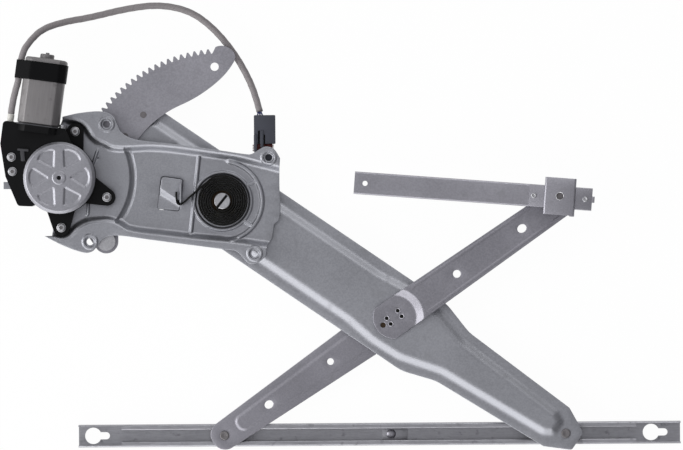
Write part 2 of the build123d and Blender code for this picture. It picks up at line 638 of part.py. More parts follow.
def motor_magnets():
    """Two curved magnets against the can's wall."""
    ring = Circle(CAN_R - CAN_T - 0.1) - Circle(15.6)
    sides = Rectangle(60, 17) & ring
    shell = extrude(sides & can_section(-CAN_T - 0.1), 38)
    return motor_axis(CAN_START + 20) * shell


def armature():
    """Laminated armature with its winding, commutator and the worm, on one shaft."""
    end = CAN_START + CAN_LENGTH
    core = axial(14.6, CAN_START + 22, CAN_START + 54)
    for k in range(8):
        slot = motor_axis(CAN_START + 38) * Rot(0, 0, 45 * k) * Pos(14.0, 0, 0) * Box(3.6, 2.4, 34)
        core -= slot
    winding = axial(11.5, CAN_START + 17, CAN_START + 59)
    return core + winding + axial(SHAFT_R, 22, end + 2.6)


def commutator():
    """Commutator with eight bars, on the armature's shaft."""
    drum = axial(6.5, CAN_START + 5, CAN_START + 15) - axial(SHAFT_R + SEAT, CAN_START, CAN_START + 20)
    for k in range(8):
        drum -= motor_axis(CAN_START + 10) * Rot(0, 0, 45 * k) * Pos(6.4, 0, 0) * Box(1.6, 0.5, 12)
    return drum


def worm():
    """Worm on the armature's shaft: a core with a raised thread in rings, beside the wheel."""
    screw = axial(WORM_R - 1.4, -17, 17)
    for k in range(-5, 6):
        screw += axial(WORM_R, 2.7 * k - 0.6, 2.7 * k + 0.6)
    screw += axial(4.0, 17, 22)
    return screw - axial(SHAFT_R + SEAT, 20, 23)


def brush_holder():
    """Ring with two brushes at the open end of the can."""
    ring = axial(18.5, CAN_START + 2, CAN_START + 16) - axial(8.6, CAN_START, CAN_START + 20)
    ring = ring & (motor_axis(CAN_START) * extrude(can_section(-CAN_T - 0.3), 30))
    return ring


def worm_bearing():
    """Plain bearing of the shaft at the mouth of the housing."""
    outer = axial(WORM_BEARING_R - SEAT, CAN_START - 6, CAN_START)
    return outer - axial(SHAFT_R + RUN_FIT, CAN_START - 7, CAN_START + 1)


def worm_wheel():
    """Toothed wheel with a throat round its rim for the worm."""
    wheel = rod(PINION, WHEEL_R, WHEEL_Z, WHEEL_Z + WHEEL_T)
    teeth = 60
    for k in range(teeth):
        turn = Pos(*PINION, WORM_Z) * Rot(0, 0, 360 / teeth * k)
        wheel -= turn * Pos(WHEEL_R, 0, 0) * Rot(4.5, 0, 0) * Box(3.2, 1.3, WHEEL_T + 2)
    throat = Pos(*PINION, WORM_Z) * Torus(WORM_DISTANCE, WORM_R + SIDE_GAP)
    wheel -= throat
    wheel -= rod(PINION, 18.5, WHEEL_Z + 2.0, WHEEL_Z + WHEEL_T + 1)
    return wheel - rod(PINION, OUTPUT_R + RUN_FIT, WHEEL_Z - 1, WHEEL_Z + WHEEL_T)


def drive_plate():
    """Three-armed plate on the output shaft, which the damper blocks push round."""
    plate = rod(PINION, 9.5, WHEEL_Z + 2.4, WHEEL_Z + 6.4)
    for k in range(3):
        arm = block((0, 17.6), (-2.4, 2.4), (WHEEL_Z + 2.4, WHEEL_Z + 6.4))
        plate += Pos(*PINION) * Rot(0, 0, 120 * k) * arm
    return plate - rod(PINION, OUTPUT_R + SEAT, WHEEL_Z, WHEEL_Z + 8)


def damper_blocks():
    """Rubber blocks between the drive plate's arms and the wheel."""
    blocks = []
    for k in range(3):
        corners = [(10.2, -42), (17.8, -47), (17.8, 0), (17.8, 47), (10.2, 42)]
        face = area([polar(radius, 60 + 120 * k + angle) for radius, angle in corners])
        face -= Circle(9.9)
        blocks.append(slab(Pos(*PINION) * face, WHEEL_Z + 2.3, 4.4))
    return blocks


def output_pinion():
    """Output shaft with the pinion that drives the sector."""
    teeth = slab(Pos(*PINION) * pinion_face(), SECTOR_Z - 0.4, SECTOR_T + 0.8)
    shaft = rod(PINION, OUTPUT_R, SECTOR_Z - 0.4, WHEEL_Z + 8.0)
    collar = rod(PINION, 9.0, SECTOR_Z + SECTOR_T + 0.4, PAD_TOP - PLATE_T - 0.4)
    return teeth + shaft + collar


def output_bush():
    """Bush of the output shaft, in the housing's floor."""
    bush = rod(PINION, BUSH_R, PAD_TOP - PLATE_T, WHEEL_Z - 2.4)
    return bush - rod(PINION, OUTPUT_R + RUN_FIT, PAD_TOP - 4, WHEEL_Z)


def torx_screw(place, shank, bottom, seat, head, height):
    """A round-headed screw with a six-lobed recess, taken as a hexagon."""
    screw = rod(place, head, seat, seat + height) + rod(place, shank, bottom, seat)
    screw = chamfer(screw.edges().group_by(Axis.Z)[-1], 0.5)
    recess = slab(Pos(*place) * RegularPolygon(head * 0.5, 6), seat + height - 1.6, 3)
    return screw - recess


def mount_screws():
    """Three screws that hold the gearbox on the plate."""
    return [torx_screw(p, SCREW_SHANK, PLATE_Z + PAD_RISE, PAD_TOP + EAR_H, SCREW_R, 3.2) for p in SCREWS]


def housing_screws():
    """Two screws at the housing's side."""
    return [torx_screw(p, SIDE_SHANK, HOUSING_TOP - 9, HOUSING_TOP, 4.7, 2.6) for p in SIDE_SCREWS]


def can_screws():
    """Two screws along the motor's axis that hold the can's mouth."""
    screws = []
    for across, up in CAN_SCREWS:
        head = axial(3.5, CAN_START, CAN_START + 3.4, across, up)
        screws.append(head + axial(1.8, CAN_START - 11, CAN_START, across, up))
    return screws


def rubber_band():
    """Rubber sleeve that ties the harness to the can."""
    centre = Pos(-CORD_BESIDE, 0)
    outer = can_section(BAND_T) + centre * Circle(CORD_R + 0.9 + BAND_T)
    outer += Pos(-CORD_BESIDE / 2 - 8, 0) * Rectangle(CORD_BESIDE - 12, 2 * (CORD_R + BAND_T))
    inner = can_section(0.05) + centre * Circle(CORD_R + 0.9)
    band = extrude(outer, BAND_TO - BAND_FROM)
    band -= Pos(0, 0, -1) * extrude(inner, BAND_TO - BAND_FROM + 2)
    return motor_axis(BAND_FROM) * band


def harness_grommet():
    """Light grommet where the harness leaves the housing."""
    return motor_axis(CAN_START + 2.0, GROMMET_ACROSS) * Cylinder(GROMMET_R, 11.6)


def harness_cord():
    """The taped harness: straight runs joined by arcs as large as the runs allow."""
    radii = []
    for a, b, c in zip(CORD_ROUTE, CORD_ROUTE[1:], CORD_ROUTE[2:]):
        before, after = Vector(*b) - Vector(*a), Vector(*c) - Vector(*b)
        turn = radians(before.get_angle(after))
        radii.append(0.45 * min(before.length, after.length) / tan(turn / 2))
    print("harness radii", [round(radius) for radius in radii])
    path = FilletPolyline(*CORD_ROUTE, radius=radii)
    section = Plane(path @ 0, z_dir=path % 0) * Circle(CORD_R)
    tube = sweep(section, path=path)
    print("harness length", round(path.length), "volume ratio", tube.volume / (path.length * section.area))
    return tube


def wire_leads():
    """Three bare leads between the taped harness and the plug."""
    x, y, z = CORD_ROUTE[-1]
    leads = []
    for k in (-1, 0, 1):
        lead = block((x - 0.8 + 2 * k, x + 0.8 + 2 * k), (PLUG_Y[1], y - 0.9), (z - 0.8, z + 0.8))
        leads.append(lead)
    return leads


def connector_body():
    """Plug housing parked under the corner of the plate, with two guide rails and a latch slot."""
    body = fillet(block(PLUG_X, PLUG_Y, PLUG_Z).edges().filter_by(Axis.Y), 1.2)
    for low, high in ((38.4, 40.4), (45.0, 47.0)):
        body -= block((low, high), (PLUG_Y[0] - 1, PLUG_Y[0] + 17), (PLUG_Z[1] - 1.4, PLUG_Z[1] + 2))
    rail = block((41.0, 44.4), (50.0, PLUG_Y[0] + 17), (PLUG_Z[1] - 1.4, FLANGE_Z))
    side = block((PLUG_X[0] - 1.2, PLUG_X[0] + 1.4), (50.5, PLUG_Y[0] + 12), (PLUG_Z[0] + 1, PLUG_Z[1] - 3))
    return body + rail + side


def connector_seal():
    """Ribbed seal round the plug's nose."""
    x = (PLUG_X[0] + 2.4, PLUG_X[1] - 1.6)
    z = (PLUG_Z[0] + 1.4, PLUG_Z[1] - 1.8)
    seal = block((x[0] + 0.8, x[1] - 0.8), (PLUG_Y[0] - 8, PLUG_Y[0]), (z[0] + 0.8, z[1] - 0.8))
    for k in range(4):
        low = PLUG_Y[0] - 1.8 * (k + 1)
        seal += fillet(block(x, (low, low + 1.0), z).edges().filter_by(Axis.Y), 1.0)
    return seal


def c_section(start, end, lips, height, depth, closed_up):
    """A lipped channel along X about y = 0, open upward, or downward when closed_up."""
    half = height / 2
    body = block((start, end), (-half, half), (0, CHANNEL_T))
    for side in (-1, 1):
        wall = sorted((side * half, side * (half - CHANNEL_T)))
        body += block((start, end), wall, (0, depth))
        lip = sorted((side * half, side * LIP_OPENING / 2))
        body += block(lips, lip, (depth - CHANNEL_T, depth))
    body = fillet(body.edges().filter_by(Axis.X).group_by(Axis.Z)[0], 0.8)
    return body.mirror(Plane.XY).translate((0, 0, depth)) if closed_up else body


def keyhole(place, run):
    """A round hole with a slot towards +X."""
    y = CHANNEL_Y
    hole = rod((place, y), KEYHOLE_R, -1, CHANNEL_T + 1)
    hole += rod((place + run - KEYSLOT_HALF, y), KEYSLOT_HALF, -1, CHANNEL_T + 1)
    return hole + block((place, place + run - KEYSLOT_HALF), (y - KEYSLOT_HALF, y + KEYSLOT_HALF),
                        (-1, CHANNEL_T + 1))


def glass_channel_left():
    """Left half of the lipped channel that carries the glass, with its keyhole."""
    end = CHANNEL_JOINT + TONGUE
    half = Pos(0, CHANNEL_Y) * c_section(CHANNEL_LEFT, end, (LIP_LEFT, end), CHANNEL_H, CHANNEL_DEPTH, False)
    half -= keyhole(KEYHOLE_LEFT, KEYSLOT_RUN)
    return half - rod((CHANNEL_JOINT, CHANNEL_Y), CHANNEL_RIVET_R + SEAT, -1, 5)


def glass_channel_right():
    """Right half, with a tongue that lies on the left half's web."""
    start = CHANNEL_JOINT + TONGUE + 0.2
    half = c_section(start, CHANNEL_RIGHT, (start, LIP_RIGHT), CHANNEL_H, CHANNEL_DEPTH, False)
    reach = CHANNEL_H / 2 - CHANNEL_T - 0.3
    half += block((CHANNEL_JOINT - TONGUE, start + 8), (-reach, reach), (CHANNEL_T, 2 * CHANNEL_T))
    half = Pos(0, CHANNEL_Y) * half - keyhole(KEYHOLE_RIGHT, KEYSLOT_RUN)
    return half - rod((CHANNEL_JOINT, CHANNEL_Y), CHANNEL_RIVET_R + SEAT, -1, 5)


def channel_rivet():
    """Domed rivet that joins the two halves."""
    return rivet((CHANNEL_JOINT, CHANNEL_Y), CHANNEL_RIVET_R, CHANNEL_RIVET_R + 1.8, 0.0, 2 * CHANNEL_T, 2.0)


def shoe(place, bottom, shift=0.0):
    """Plastic slider as high as the channel allows, bored beside its middle by a shift."""
    half = CHANNEL_H / 2 - CHANNEL_T - SIDE_GAP
    height = CHANNEL_DEPTH - 2 * CHANNEL_T - 2 * SIDE_GAP
    body = Pos(place[0], place[1] + shift, bottom + height / 2) * Box(2 * SHOE_HALF, 2 * half, height)
    body = fillet(body.edges().filter_by(Axis.Z), 3.0)
    return body - rod(place, STUD_R + RUN_FIT, bottom - 1, bottom + height + 1)


def stud(place, shoe_end, arm_side, arm_face, head_height):
    """Shouldered stud riveted in an arm, with its plain end in a shoe."""
    head = sorted((arm_face, arm_face + head_height))
    shank = sorted((shoe_end, arm_face))
    collar = sorted((arm_side, arm_side + (1.0 if shoe_end > arm_side else -1.0) * STUD_COLLAR))
    return rod(place, STUD_R, *shank) + rod(place, STUD_HEAD_R, *head) + rod(place, STUD_COLLAR_R, *collar)


def link_outline(length, near, far, end):
    """An arm along +X from a disc to a rounded end, narrowing on the way."""
    tip = length + end
    body = area([(0, near), (tip, far), (tip, -far), (0, -near)])
    return fillet(body.vertices().group_by(Axis.X)[-1], end) + Circle(LINK_DISC_R)


def link_panel(start, length, near, far, inset):
    """The foot of the raised panel inside an arm's outline."""
    corners = [(start, near - inset), (length, far - inset), (length, inset - far), (start, inset - near)]
    return rounded_area(corners, 5.0)


def equaliser_upper_arm():
    """Front arm, with a disc on the lift arm and a step up to its body."""
    outline = link_outline(HALF_ARM, 19.5, 15.8, 15.0)
    level = LINK_UP_Z + LINK_STEP
    away = Rectangle(600, 100, align=(Align.MIN, Align.CENTER))
    body = slab(outline & Pos(LINK_STEP_R - 2, 0) * away, level, LINK_T)
    foot = link_panel(38.0, HALF_ARM - 17, 19.5, 16.3, 4.6)
    raised = slab(foot, level, LINK_T + 0.8) - slab(offset(foot, -1.0), level, 0.8)
    disc = rod(PIVOT, LINK_DISC_R, LINK_UP_Z, LINK_UP_Z + LINK_T)
    disc = disc & block((-40, 40), (-LINK_DISC_HALF, LINK_DISC_HALF), (LINK_UP_Z, LINK_UP_Z + LINK_T))
    section = Polyline((LINK_DISC_R - 3, LINK_UP_Z), (LINK_DISC_R - 3, LINK_UP_Z + LINK_T),
                       (LINK_DISC_R - 0.5, LINK_UP_Z + LINK_T), (LINK_STEP_R - 1, level + LINK_T),
                       (LINK_STEP_R + 1, level + LINK_T), (LINK_STEP_R + 1, level),
                       (LINK_DISC_R + 1.5, LINK_UP_Z), close=True)
    ramp = revolve(Plane.XZ * make_face(section), Axis.Z)
    band = slab(area([(6, 19.8), (40, 19.0), (40, -19.0), (6, -19.8)]), LINK_UP_Z, LINK_STEP + LINK_T)
    arm = body + raised + disc + (ramp & band)
    for x, y in PEGS:
        arm -= rod((x, y), PEG_R + SEAT, LINK_UP_Z - 1, LINK_UP_Z + 4)
    arm -= rod((-14.3, 0), 2.8, LINK_UP_Z - 1, LINK_UP_Z + 4)
    arm -= rod((79.9, 0), 4.1, level - 1, level + 5)
    arm -= slab(Pos(163.1, 0) * Ellipse(5.0, 4.3), level - 1, 6)
    return LINK * (arm - rod((HALF_ARM, 0), STUD_R + SEAT, level - 1, level + 5))


def equaliser_lower_arm():
    """Back arm, behind the lift arm, with a raised panel."""
    outline = link_outline(HALF_ARM, 20.0, 14.9, 13.9)
    foot = link_panel(34.0, HALF_ARM - 16, 20.0, 15.4, 6.0)
    arm = pressed(outline, foot, LINK_Z, LINK_T, LINK_PANEL, 1.6)
    for place, size in ((81.9, (3.5, 3.5)), (160.9, (4.8, 4.2))):
        hole = Circle(size[0]) if size[0] == size[1] else Ellipse(*size)
        arm -= slab(Pos(place, 0) * hole, LINK_Z - 1, 6)
    arm -= rod((HALF_ARM, 0), STUD_R + SEAT, LINK_Z - 1, LINK_Z + 5)
    arm -= rod(PIVOT, HUB_SPIGOT_R + SEAT, LINK_Z - 1, LINK_Z + 5)
    return LINK * Rot(0, 0, 180) * arm


def equaliser_hub():
    """Hub that joins the two equaliser arms through the lift arm and turns in it."""
    hub = rod(PIVOT, HUB_SPIGOT_R, LINK_Z, LINK_Z + LINK_T)
    hub += rod(PIVOT, HUB_R, LINK_Z + LINK_T, LINK_UP_Z)
    for x, y in PEGS:
        hub += rod((x, y), PEG_R, LINK_UP_Z - 1, LINK_UP_Z + LINK_T + 0.6)
    return LINK * hub


def fixed_rail():
    """Lipped rail that bolts to the door, closed towards the motor side."""
    rail = c_section(0, RAIL_LENGTH, (16, RAIL_LENGTH - 4), CHANNEL_H, RAIL_DEPTH, True)
    rail = Pos(0, 0, RAIL_Z) * rail
    top = RAIL_Z + RAIL_DEPTH
    rail -= rod((RAIL_HOLE, 0), RAIL_HOLE_R, top - 3, top + 1)
    rail -= rod(BRACKET_HOLE, BRACKET_HOLE_R + 3, top - 3, top + 1)
    for u in DOUBLER_RIVETS:
        rail -= rod((u, 0), RAIL_RIVET_R + SEAT, top - 3, top + 1)
    return RAIL * rail


def rail_reinforcement():
    """Strip riveted on the rail under the bracket."""
    top = RAIL_Z + RAIL_DEPTH
    half = CHANNEL_H / 2 - 0.6
    strip = block((RAIL_LENGTH - DOUBLER_LENGTH, RAIL_LENGTH), (-half, half), (top, top + DOUBLER_T))
    strip -= rod(BRACKET_HOLE, BRACKET_HOLE_R + 3, top - 1, top + 3)
    for u in DOUBLER_RIVETS:
        strip -= rod((u, 0), RAIL_RIVET_R + SEAT, top - 1, top + 3)
    return RAIL * strip


def rail_bracket():
    """Bracket across the rail, folded down at two edges, with the door bolt's hole."""
    low = RAIL_Z + RAIL_DEPTH + DOUBLER_T
    top = low + BRACKET_LIFT + BRACKET_T
    bracket = block(BRACKET_U, BRACKET_V, (low + BRACKET_LIFT, top))
    for edge in ((BRACKET_U[0], BRACKET_U[0] + BRACKET_T), (BRACKET_U[1] - BRACKET_T, BRACKET_U[1])):
        bracket += block(edge, BRACKET_V, (low, low + BRACKET_LIFT + 0.5))
    bracket = fillet(bracket.edges().filter_by(Axis.Y).group_by(Axis.Z)[-1], 1.4)
    return RAIL * (bracket - rod(BRACKET_HOLE, BRACKET_HOLE_R, low - 1, top + 1))


def rail_rivets():
    """Rivets of the reinforcement strip."""
    top = RAIL_Z + RAIL_DEPTH
    rivets = []
    for u in DOUBLER_RIVETS:
        made = rivet((u, 0), RAIL_RIVET_R, RAIL_RIVET_R + 0.9, top - CHANNEL_T, top + DOUBLER_T, 1.0)
        rivets.append(RAIL * made)
    return rivets


def terminal_tab():
    """Metal tab at the gearbox's edge."""
    return block((-229.5, -219.0), (14.0, 21.5), (PAD_TOP - 1.2, PAD_TOP))


def studs():
    """The three studs, named after the arms that hold them."""
    reach = STUD_R * 2
    return {
        "lift_arm_stud": stud(ARM_PIN, SHOE_Z + 0.5, ARM_Z, ARM_Z + ARM_T, 1.8),
        "lower_arm_stud": stud(LINK_PIN, SHOE_Z + 0.5, LINK_Z, LINK_Z + LINK_T, 1.4),
        "upper_arm_stud": stud(UPPER_PIN, UP_SHOE_Z + reach, LINK_BODY_Z + LINK_T, LINK_BODY_Z, -1.4),
    }


def rail_shoe(place):
    """The shoe in the fixed rail, turned along it and centred on it."""
    across = (RAIL.inverse() * Pos(*place)).position.Y
    return Pos(*place) * Rot(0, 0, -RAIL_TILT) * shoe(PIVOT, UP_SHOE_Z, -across)


def pieces():
    """Every piece under its node's name."""
    made = {
        "mounting_plate": mounting_plate(), "pivot_bush": pivot_bush(),
        "counterbalance_spring": counterbalance_spring(),
        "motor_gear_housing": motor_gear_housing(), "gear_cover": gear_cover(),
        "output_bush": output_bush(), "mount_screws": mount_screws(), "housing_screws": housing_screws(),
        "motor_can": motor_can(), "can_screws": can_screws(), "can_bearing": can_bearing(),
        "motor_magnets": motor_magnets(), "brush_holder": brush_holder(), "worm_bearing": worm_bearing(),
        "terminal_tab": terminal_tab(), "rubber_band": rubber_band(), "harness_grommet": harness_grommet(),
        "harness_cord": harness_cord(), "wire_leads": wire_leads(), "connector_body": connector_body(),
        "connector_seal": connector_seal(),
        "armature": armature(), "commutator": commutator(), "worm": worm(),
        "worm_wheel": worm_wheel(), "damper_blocks": damper_blocks(), "drive_plate": drive_plate(),
        "output_pinion": output_pinion(),
        "lift_arm": lift_arm(), "sector_gear": sector_gear(), "sector_rivets": sector_rivets(),
        "guide_button": guide_button(), "pivot_arbor": pivot_arbor(), "pivot_washer": pivot_washer(),
        "equaliser_upper_arm": equaliser_upper_arm(), "equaliser_lower_arm": equaliser_lower_arm(),
        "equaliser_hub": equaliser_hub(),
        "lift_arm_shoe": shoe(ARM_PIN, SHOE_Z), "lower_arm_shoe": shoe(LINK_PIN, SHOE_Z),
        "upper_arm_shoe": rail_shoe(UPPER_PIN),
        "glass_channel_left": glass_channel_left(), "glass_channel_right": glass_channel_right(),
        "channel_rivet": channel_rivet(),
        "fixed_rail": fixed_rail(), "rail_reinforcement": rail_reinforcement(),
        "rail_bracket": rail_bracket(), "rail_rivets": rail_rivets(),
    }
    made.update(studs())
    return made


def main():
    """Write one file for each piece, about the origin at the front upper bolt hole."""
    os.makedirs("parts", exist_ok=True)
    home = Pos(-ORIGIN[0], -ORIGIN[1], -ORIGIN[2])
    for name, made in pieces().items():
        solids = made if isinstance(made, list) else [made]
        moved = [home * solid for solid in solids]
        shape = moved[0] if len(moved) == 1 else Compound(children=moved)
        export_step(shape, f"parts/{name}.step")


main()
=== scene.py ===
"""Dressed model of a cross-arm window regulator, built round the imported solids.

Sizes are written in millimetres about the lift pivot, with z = 0 on the back of the glass channel,
as the regulator lies with its motor side up. ``at`` turns such a place into the frame's metres.
"""

from __future__ import annotations

import json
import logging
import math
from contextlib import contextmanager
from dataclasses import dataclass, field
from typing import Callable, ClassVar, Dict, Iterator, List, Optional, Sequence, Tuple, Union

import bpy
import numpy as np
from mathutils import Matrix, Vector
from mathutils.geometry import convex_hull_2d, delaunay_2d_cdt

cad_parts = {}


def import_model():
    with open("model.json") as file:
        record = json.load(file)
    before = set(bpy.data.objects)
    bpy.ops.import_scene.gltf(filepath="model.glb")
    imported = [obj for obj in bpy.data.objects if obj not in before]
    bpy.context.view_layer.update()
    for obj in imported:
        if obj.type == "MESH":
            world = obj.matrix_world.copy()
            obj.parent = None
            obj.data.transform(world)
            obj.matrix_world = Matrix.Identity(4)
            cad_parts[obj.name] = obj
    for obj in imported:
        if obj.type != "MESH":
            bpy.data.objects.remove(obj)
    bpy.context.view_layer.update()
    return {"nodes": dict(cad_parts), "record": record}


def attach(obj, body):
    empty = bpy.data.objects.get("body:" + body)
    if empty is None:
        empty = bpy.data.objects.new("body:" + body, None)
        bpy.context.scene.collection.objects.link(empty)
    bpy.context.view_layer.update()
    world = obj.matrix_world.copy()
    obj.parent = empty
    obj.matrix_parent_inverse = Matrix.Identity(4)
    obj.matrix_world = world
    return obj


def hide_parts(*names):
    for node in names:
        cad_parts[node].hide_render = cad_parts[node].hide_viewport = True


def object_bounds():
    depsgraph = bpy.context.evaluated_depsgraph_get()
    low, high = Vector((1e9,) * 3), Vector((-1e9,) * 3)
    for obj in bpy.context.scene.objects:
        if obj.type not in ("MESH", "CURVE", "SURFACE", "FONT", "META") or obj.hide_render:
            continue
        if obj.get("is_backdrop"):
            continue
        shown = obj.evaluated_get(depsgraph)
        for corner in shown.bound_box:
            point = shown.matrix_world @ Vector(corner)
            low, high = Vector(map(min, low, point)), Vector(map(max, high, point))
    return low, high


LOG = logging.getLogger("window_regulator")
MM = 0.001
PIVOT_IN_FRAME = (120.7, -81.2, -37.8)
Place = Tuple[float, float]
Spot = Tuple[float, float, float]
Loop = List[Place]
Route = Tuple[Place, ...]
SpotRoute = Tuple[Spot, ...]
Colour = Tuple[float, float, float]
Solid = bpy.types.Object
Socket = bpy.types.NodeSocket
Material = bpy.types.Material
Pieces = Sequence[Tuple[object, ...]]

# The linkage: half of each crossing arm, the lift arm's angle at rest, and the glass channel's line
HALF_ARM = 218.0
REST_ANGLE = 34.5
CHANNEL_Y = -246.95

# Levels above the back of the glass channel, and the mounting plate's thickness
PLATE_T = 1.8
PLATE_WEB = 30.6
PLATE_PAD = 33.1
PLATE_FLANGE = 39.6
HOUSING_TOP = 54.1
WORM_Z = 44.1
RAIL_Z = 34.0

# The motor: the pinion's axis, the foot and tilt of the worm's axis, the can's ends along it, and its screws
PINION = (-169.88, 25.29)
MOTOR_FOOT = (-199.19, 29.38)
MOTOR_TILT = 82.05
CAN_START = 51.8
CAN_END = 121.8
SCREW_PLACES = ((-153.7, 73.8), (-120.9, 4.7), (-168.8, -26.8))

# The harness's tape: the width of a lap in metres, and the UV map that winds it
TAPE_LAP = 0.011
WRAP = "wrap"

# How close two points count as one, in metres
MERGE = 1e-6
# The least divisor, and twice the least area of a triangle in a blank, in square millimetres
TINY = 1e-9
SLIVER = 1e-7
# The angles up to which pieces and pressed sheets are smooth, in degrees
SMOOTH = 35.0
SHEET_SMOOTH = 42.0
WHITE: Colour = (1.0, 1.0, 1.0)


def at(x: float, y: float, z: float = 0.0) -> Vector:
    """A place in millimetres about the lift pivot, in the frame's metres."""
    return Vector([(own + home) * MM for own, home in zip((x, y, z), PIVOT_IN_FRAME)])


HOME = Matrix.Translation(at(0.0, 0.0, 0.0))
X_TO_Z = Matrix(((0, 1, 0, 0), (0, 0, 1, 0), (1, 0, 0, 0), (0, 0, 0, 1)))


def polar(radius: float, angle: float, centre: Place = (0.0, 0.0)) -> Place:
    """A place at a radius and an angle in degrees about a centre."""
    turn = math.radians(angle)
    return centre[0] + radius * math.cos(turn), centre[1] + radius * math.sin(turn)


def turned(places: Sequence[Place], angle: float) -> Loop:
    """Places turned about the origin by an angle in degrees."""
    c, s = math.cos(math.radians(angle)), math.sin(math.radians(angle))
    return [(c * x - s * y, s * x + c * y) for x, y in places]


def motor_place(distance: float, across: float = 0.0) -> Matrix:
    """A frame on the motor's axis: X across it, Z along it, from the frame's metres.

    Args:
        distance: How far along the axis, in millimetres.
        across: How far across it.

    Returns:
        The frame.
    """
    c, s = math.cos(math.radians(MOTOR_TILT)), math.sin(math.radians(MOTOR_TILT))
    x = MOTOR_FOOT[0] + distance * c + across * s
    y = MOTOR_FOOT[1] + distance * s - across * c
    turn = Matrix(((s, 0.0, c), (-c, 0.0, s), (0.0, -1.0, 0.0))).to_4x4()
    return Matrix.Translation(at(x, y, WORM_Z)) @ turn


# Shader maths


class Value:
    """A number on a shader socket, with Python's operators as Math nodes."""

    def __init__(self, nodes: "Nodes", socket: Socket) -> None:
        """Wrap a socket.

        Args:
            nodes: The tree that the socket is in.
            socket: The output socket that carries the number.
        """
        self.nodes = nodes
        self.socket = socket

    def _maths(self, operation: str, *operands: Union["Value", float]) -> "Value":
        """Add one Math node.

        Args:
            operation: The node's operation.
            operands: Numbers or values, in the order of the sockets.

        Returns:
            The node's result.
        """
        node = self.nodes.node("ShaderNodeMath", {"operation": operation}, dict(enumerate(operands)))
        return Value(self.nodes, node.outputs[0])

    def __add__(self, other: Union["Value", float]) -> "Value":
        """This value plus another."""
        return self._maths("ADD", self, other)

    def __sub__(self, other: Union["Value", float]) -> "Value":
        """This value less another."""
        return self._maths("SUBTRACT", self, other)

    def __rsub__(self, other: Union["Value", float]) -> "Value":
        """Another value less this one."""
        return self._maths("SUBTRACT", other, self)

    def __mul__(self, other: Union["Value", float]) -> "Value":
        """This value times another."""
        return self._maths("MULTIPLY", self, other)

    __radd__ = __add__
    __rmul__ = __mul__

    def fraction(self) -> "Value":
        """What is left past the whole number."""
        return self._maths("FRACT", self)

    def between(self, low: float, high: float) -> "Value":
        """A smooth step from 0 at low to 1 at high."""
        smooth = {"interpolation_type": "SMOOTHSTEP"}
        node = self.nodes.node("ShaderNodeMapRange", smooth, {0: self, 1: low, 2: high})
        return Value(self.nodes, node.outputs[0])


class Nodes:
    """A node tree that is built from Python."""

    def __init__(self, tree: bpy.types.NodeTree) -> None:
        """Start with an empty tree."""
        self.tree = tree
        tree.nodes.clear()

    def feed(self, slot: Socket, given: object) -> None:
        """Link a value or socket to an input, or set the input's own number.

        Args:
            slot: The input.
            given: A value, a socket or a plain number or colour.
        """
        if isinstance(given, Value):
            given = given.socket
        if isinstance(given, Socket):
            self.tree.links.new(given, slot)
        else:
            slot.default_value = given

    def node(self, kind: str, settings: Dict[str, object],
             inputs: Dict[Union[int, str], object]) -> bpy.types.Node:
        """Add one node.

        Args:
            kind: The node's type.
            settings: Its properties, set first.
            inputs: Values or links for its sockets.

        Returns:
            The node.
        """
        made = self.tree.nodes.new(kind)
        for name, setting in settings.items():
            setattr(made, name, setting)
        for name, given in inputs.items():
            self.feed(made.inputs[name], given)
        return made

    def out(self, kind: str, inputs: Dict[Union[int, str], object], output: Union[int, str] = 0,
            **settings: object) -> Socket:
        """Add one node and give the output of a name or number."""
        return self.node(kind, settings, inputs).outputs[output]

    def fade(self, along: Socket, *stops: Tuple[float, Colour]) -> Socket:
        """A colour that changes between two stops along a number.

        Args:
            along: The number's socket.
            stops: A position and a colour for each end.

        Returns:
            The colour's socket.
        """
        ramp_node = self.node("ShaderNodeValToRGB", {}, {0: along})
        for element, (position, colour) in zip(ramp_node.color_ramp.elements, stops):
            element.position = position
            element.color = (*colour, 1.0)
        return ramp_node.outputs[0]


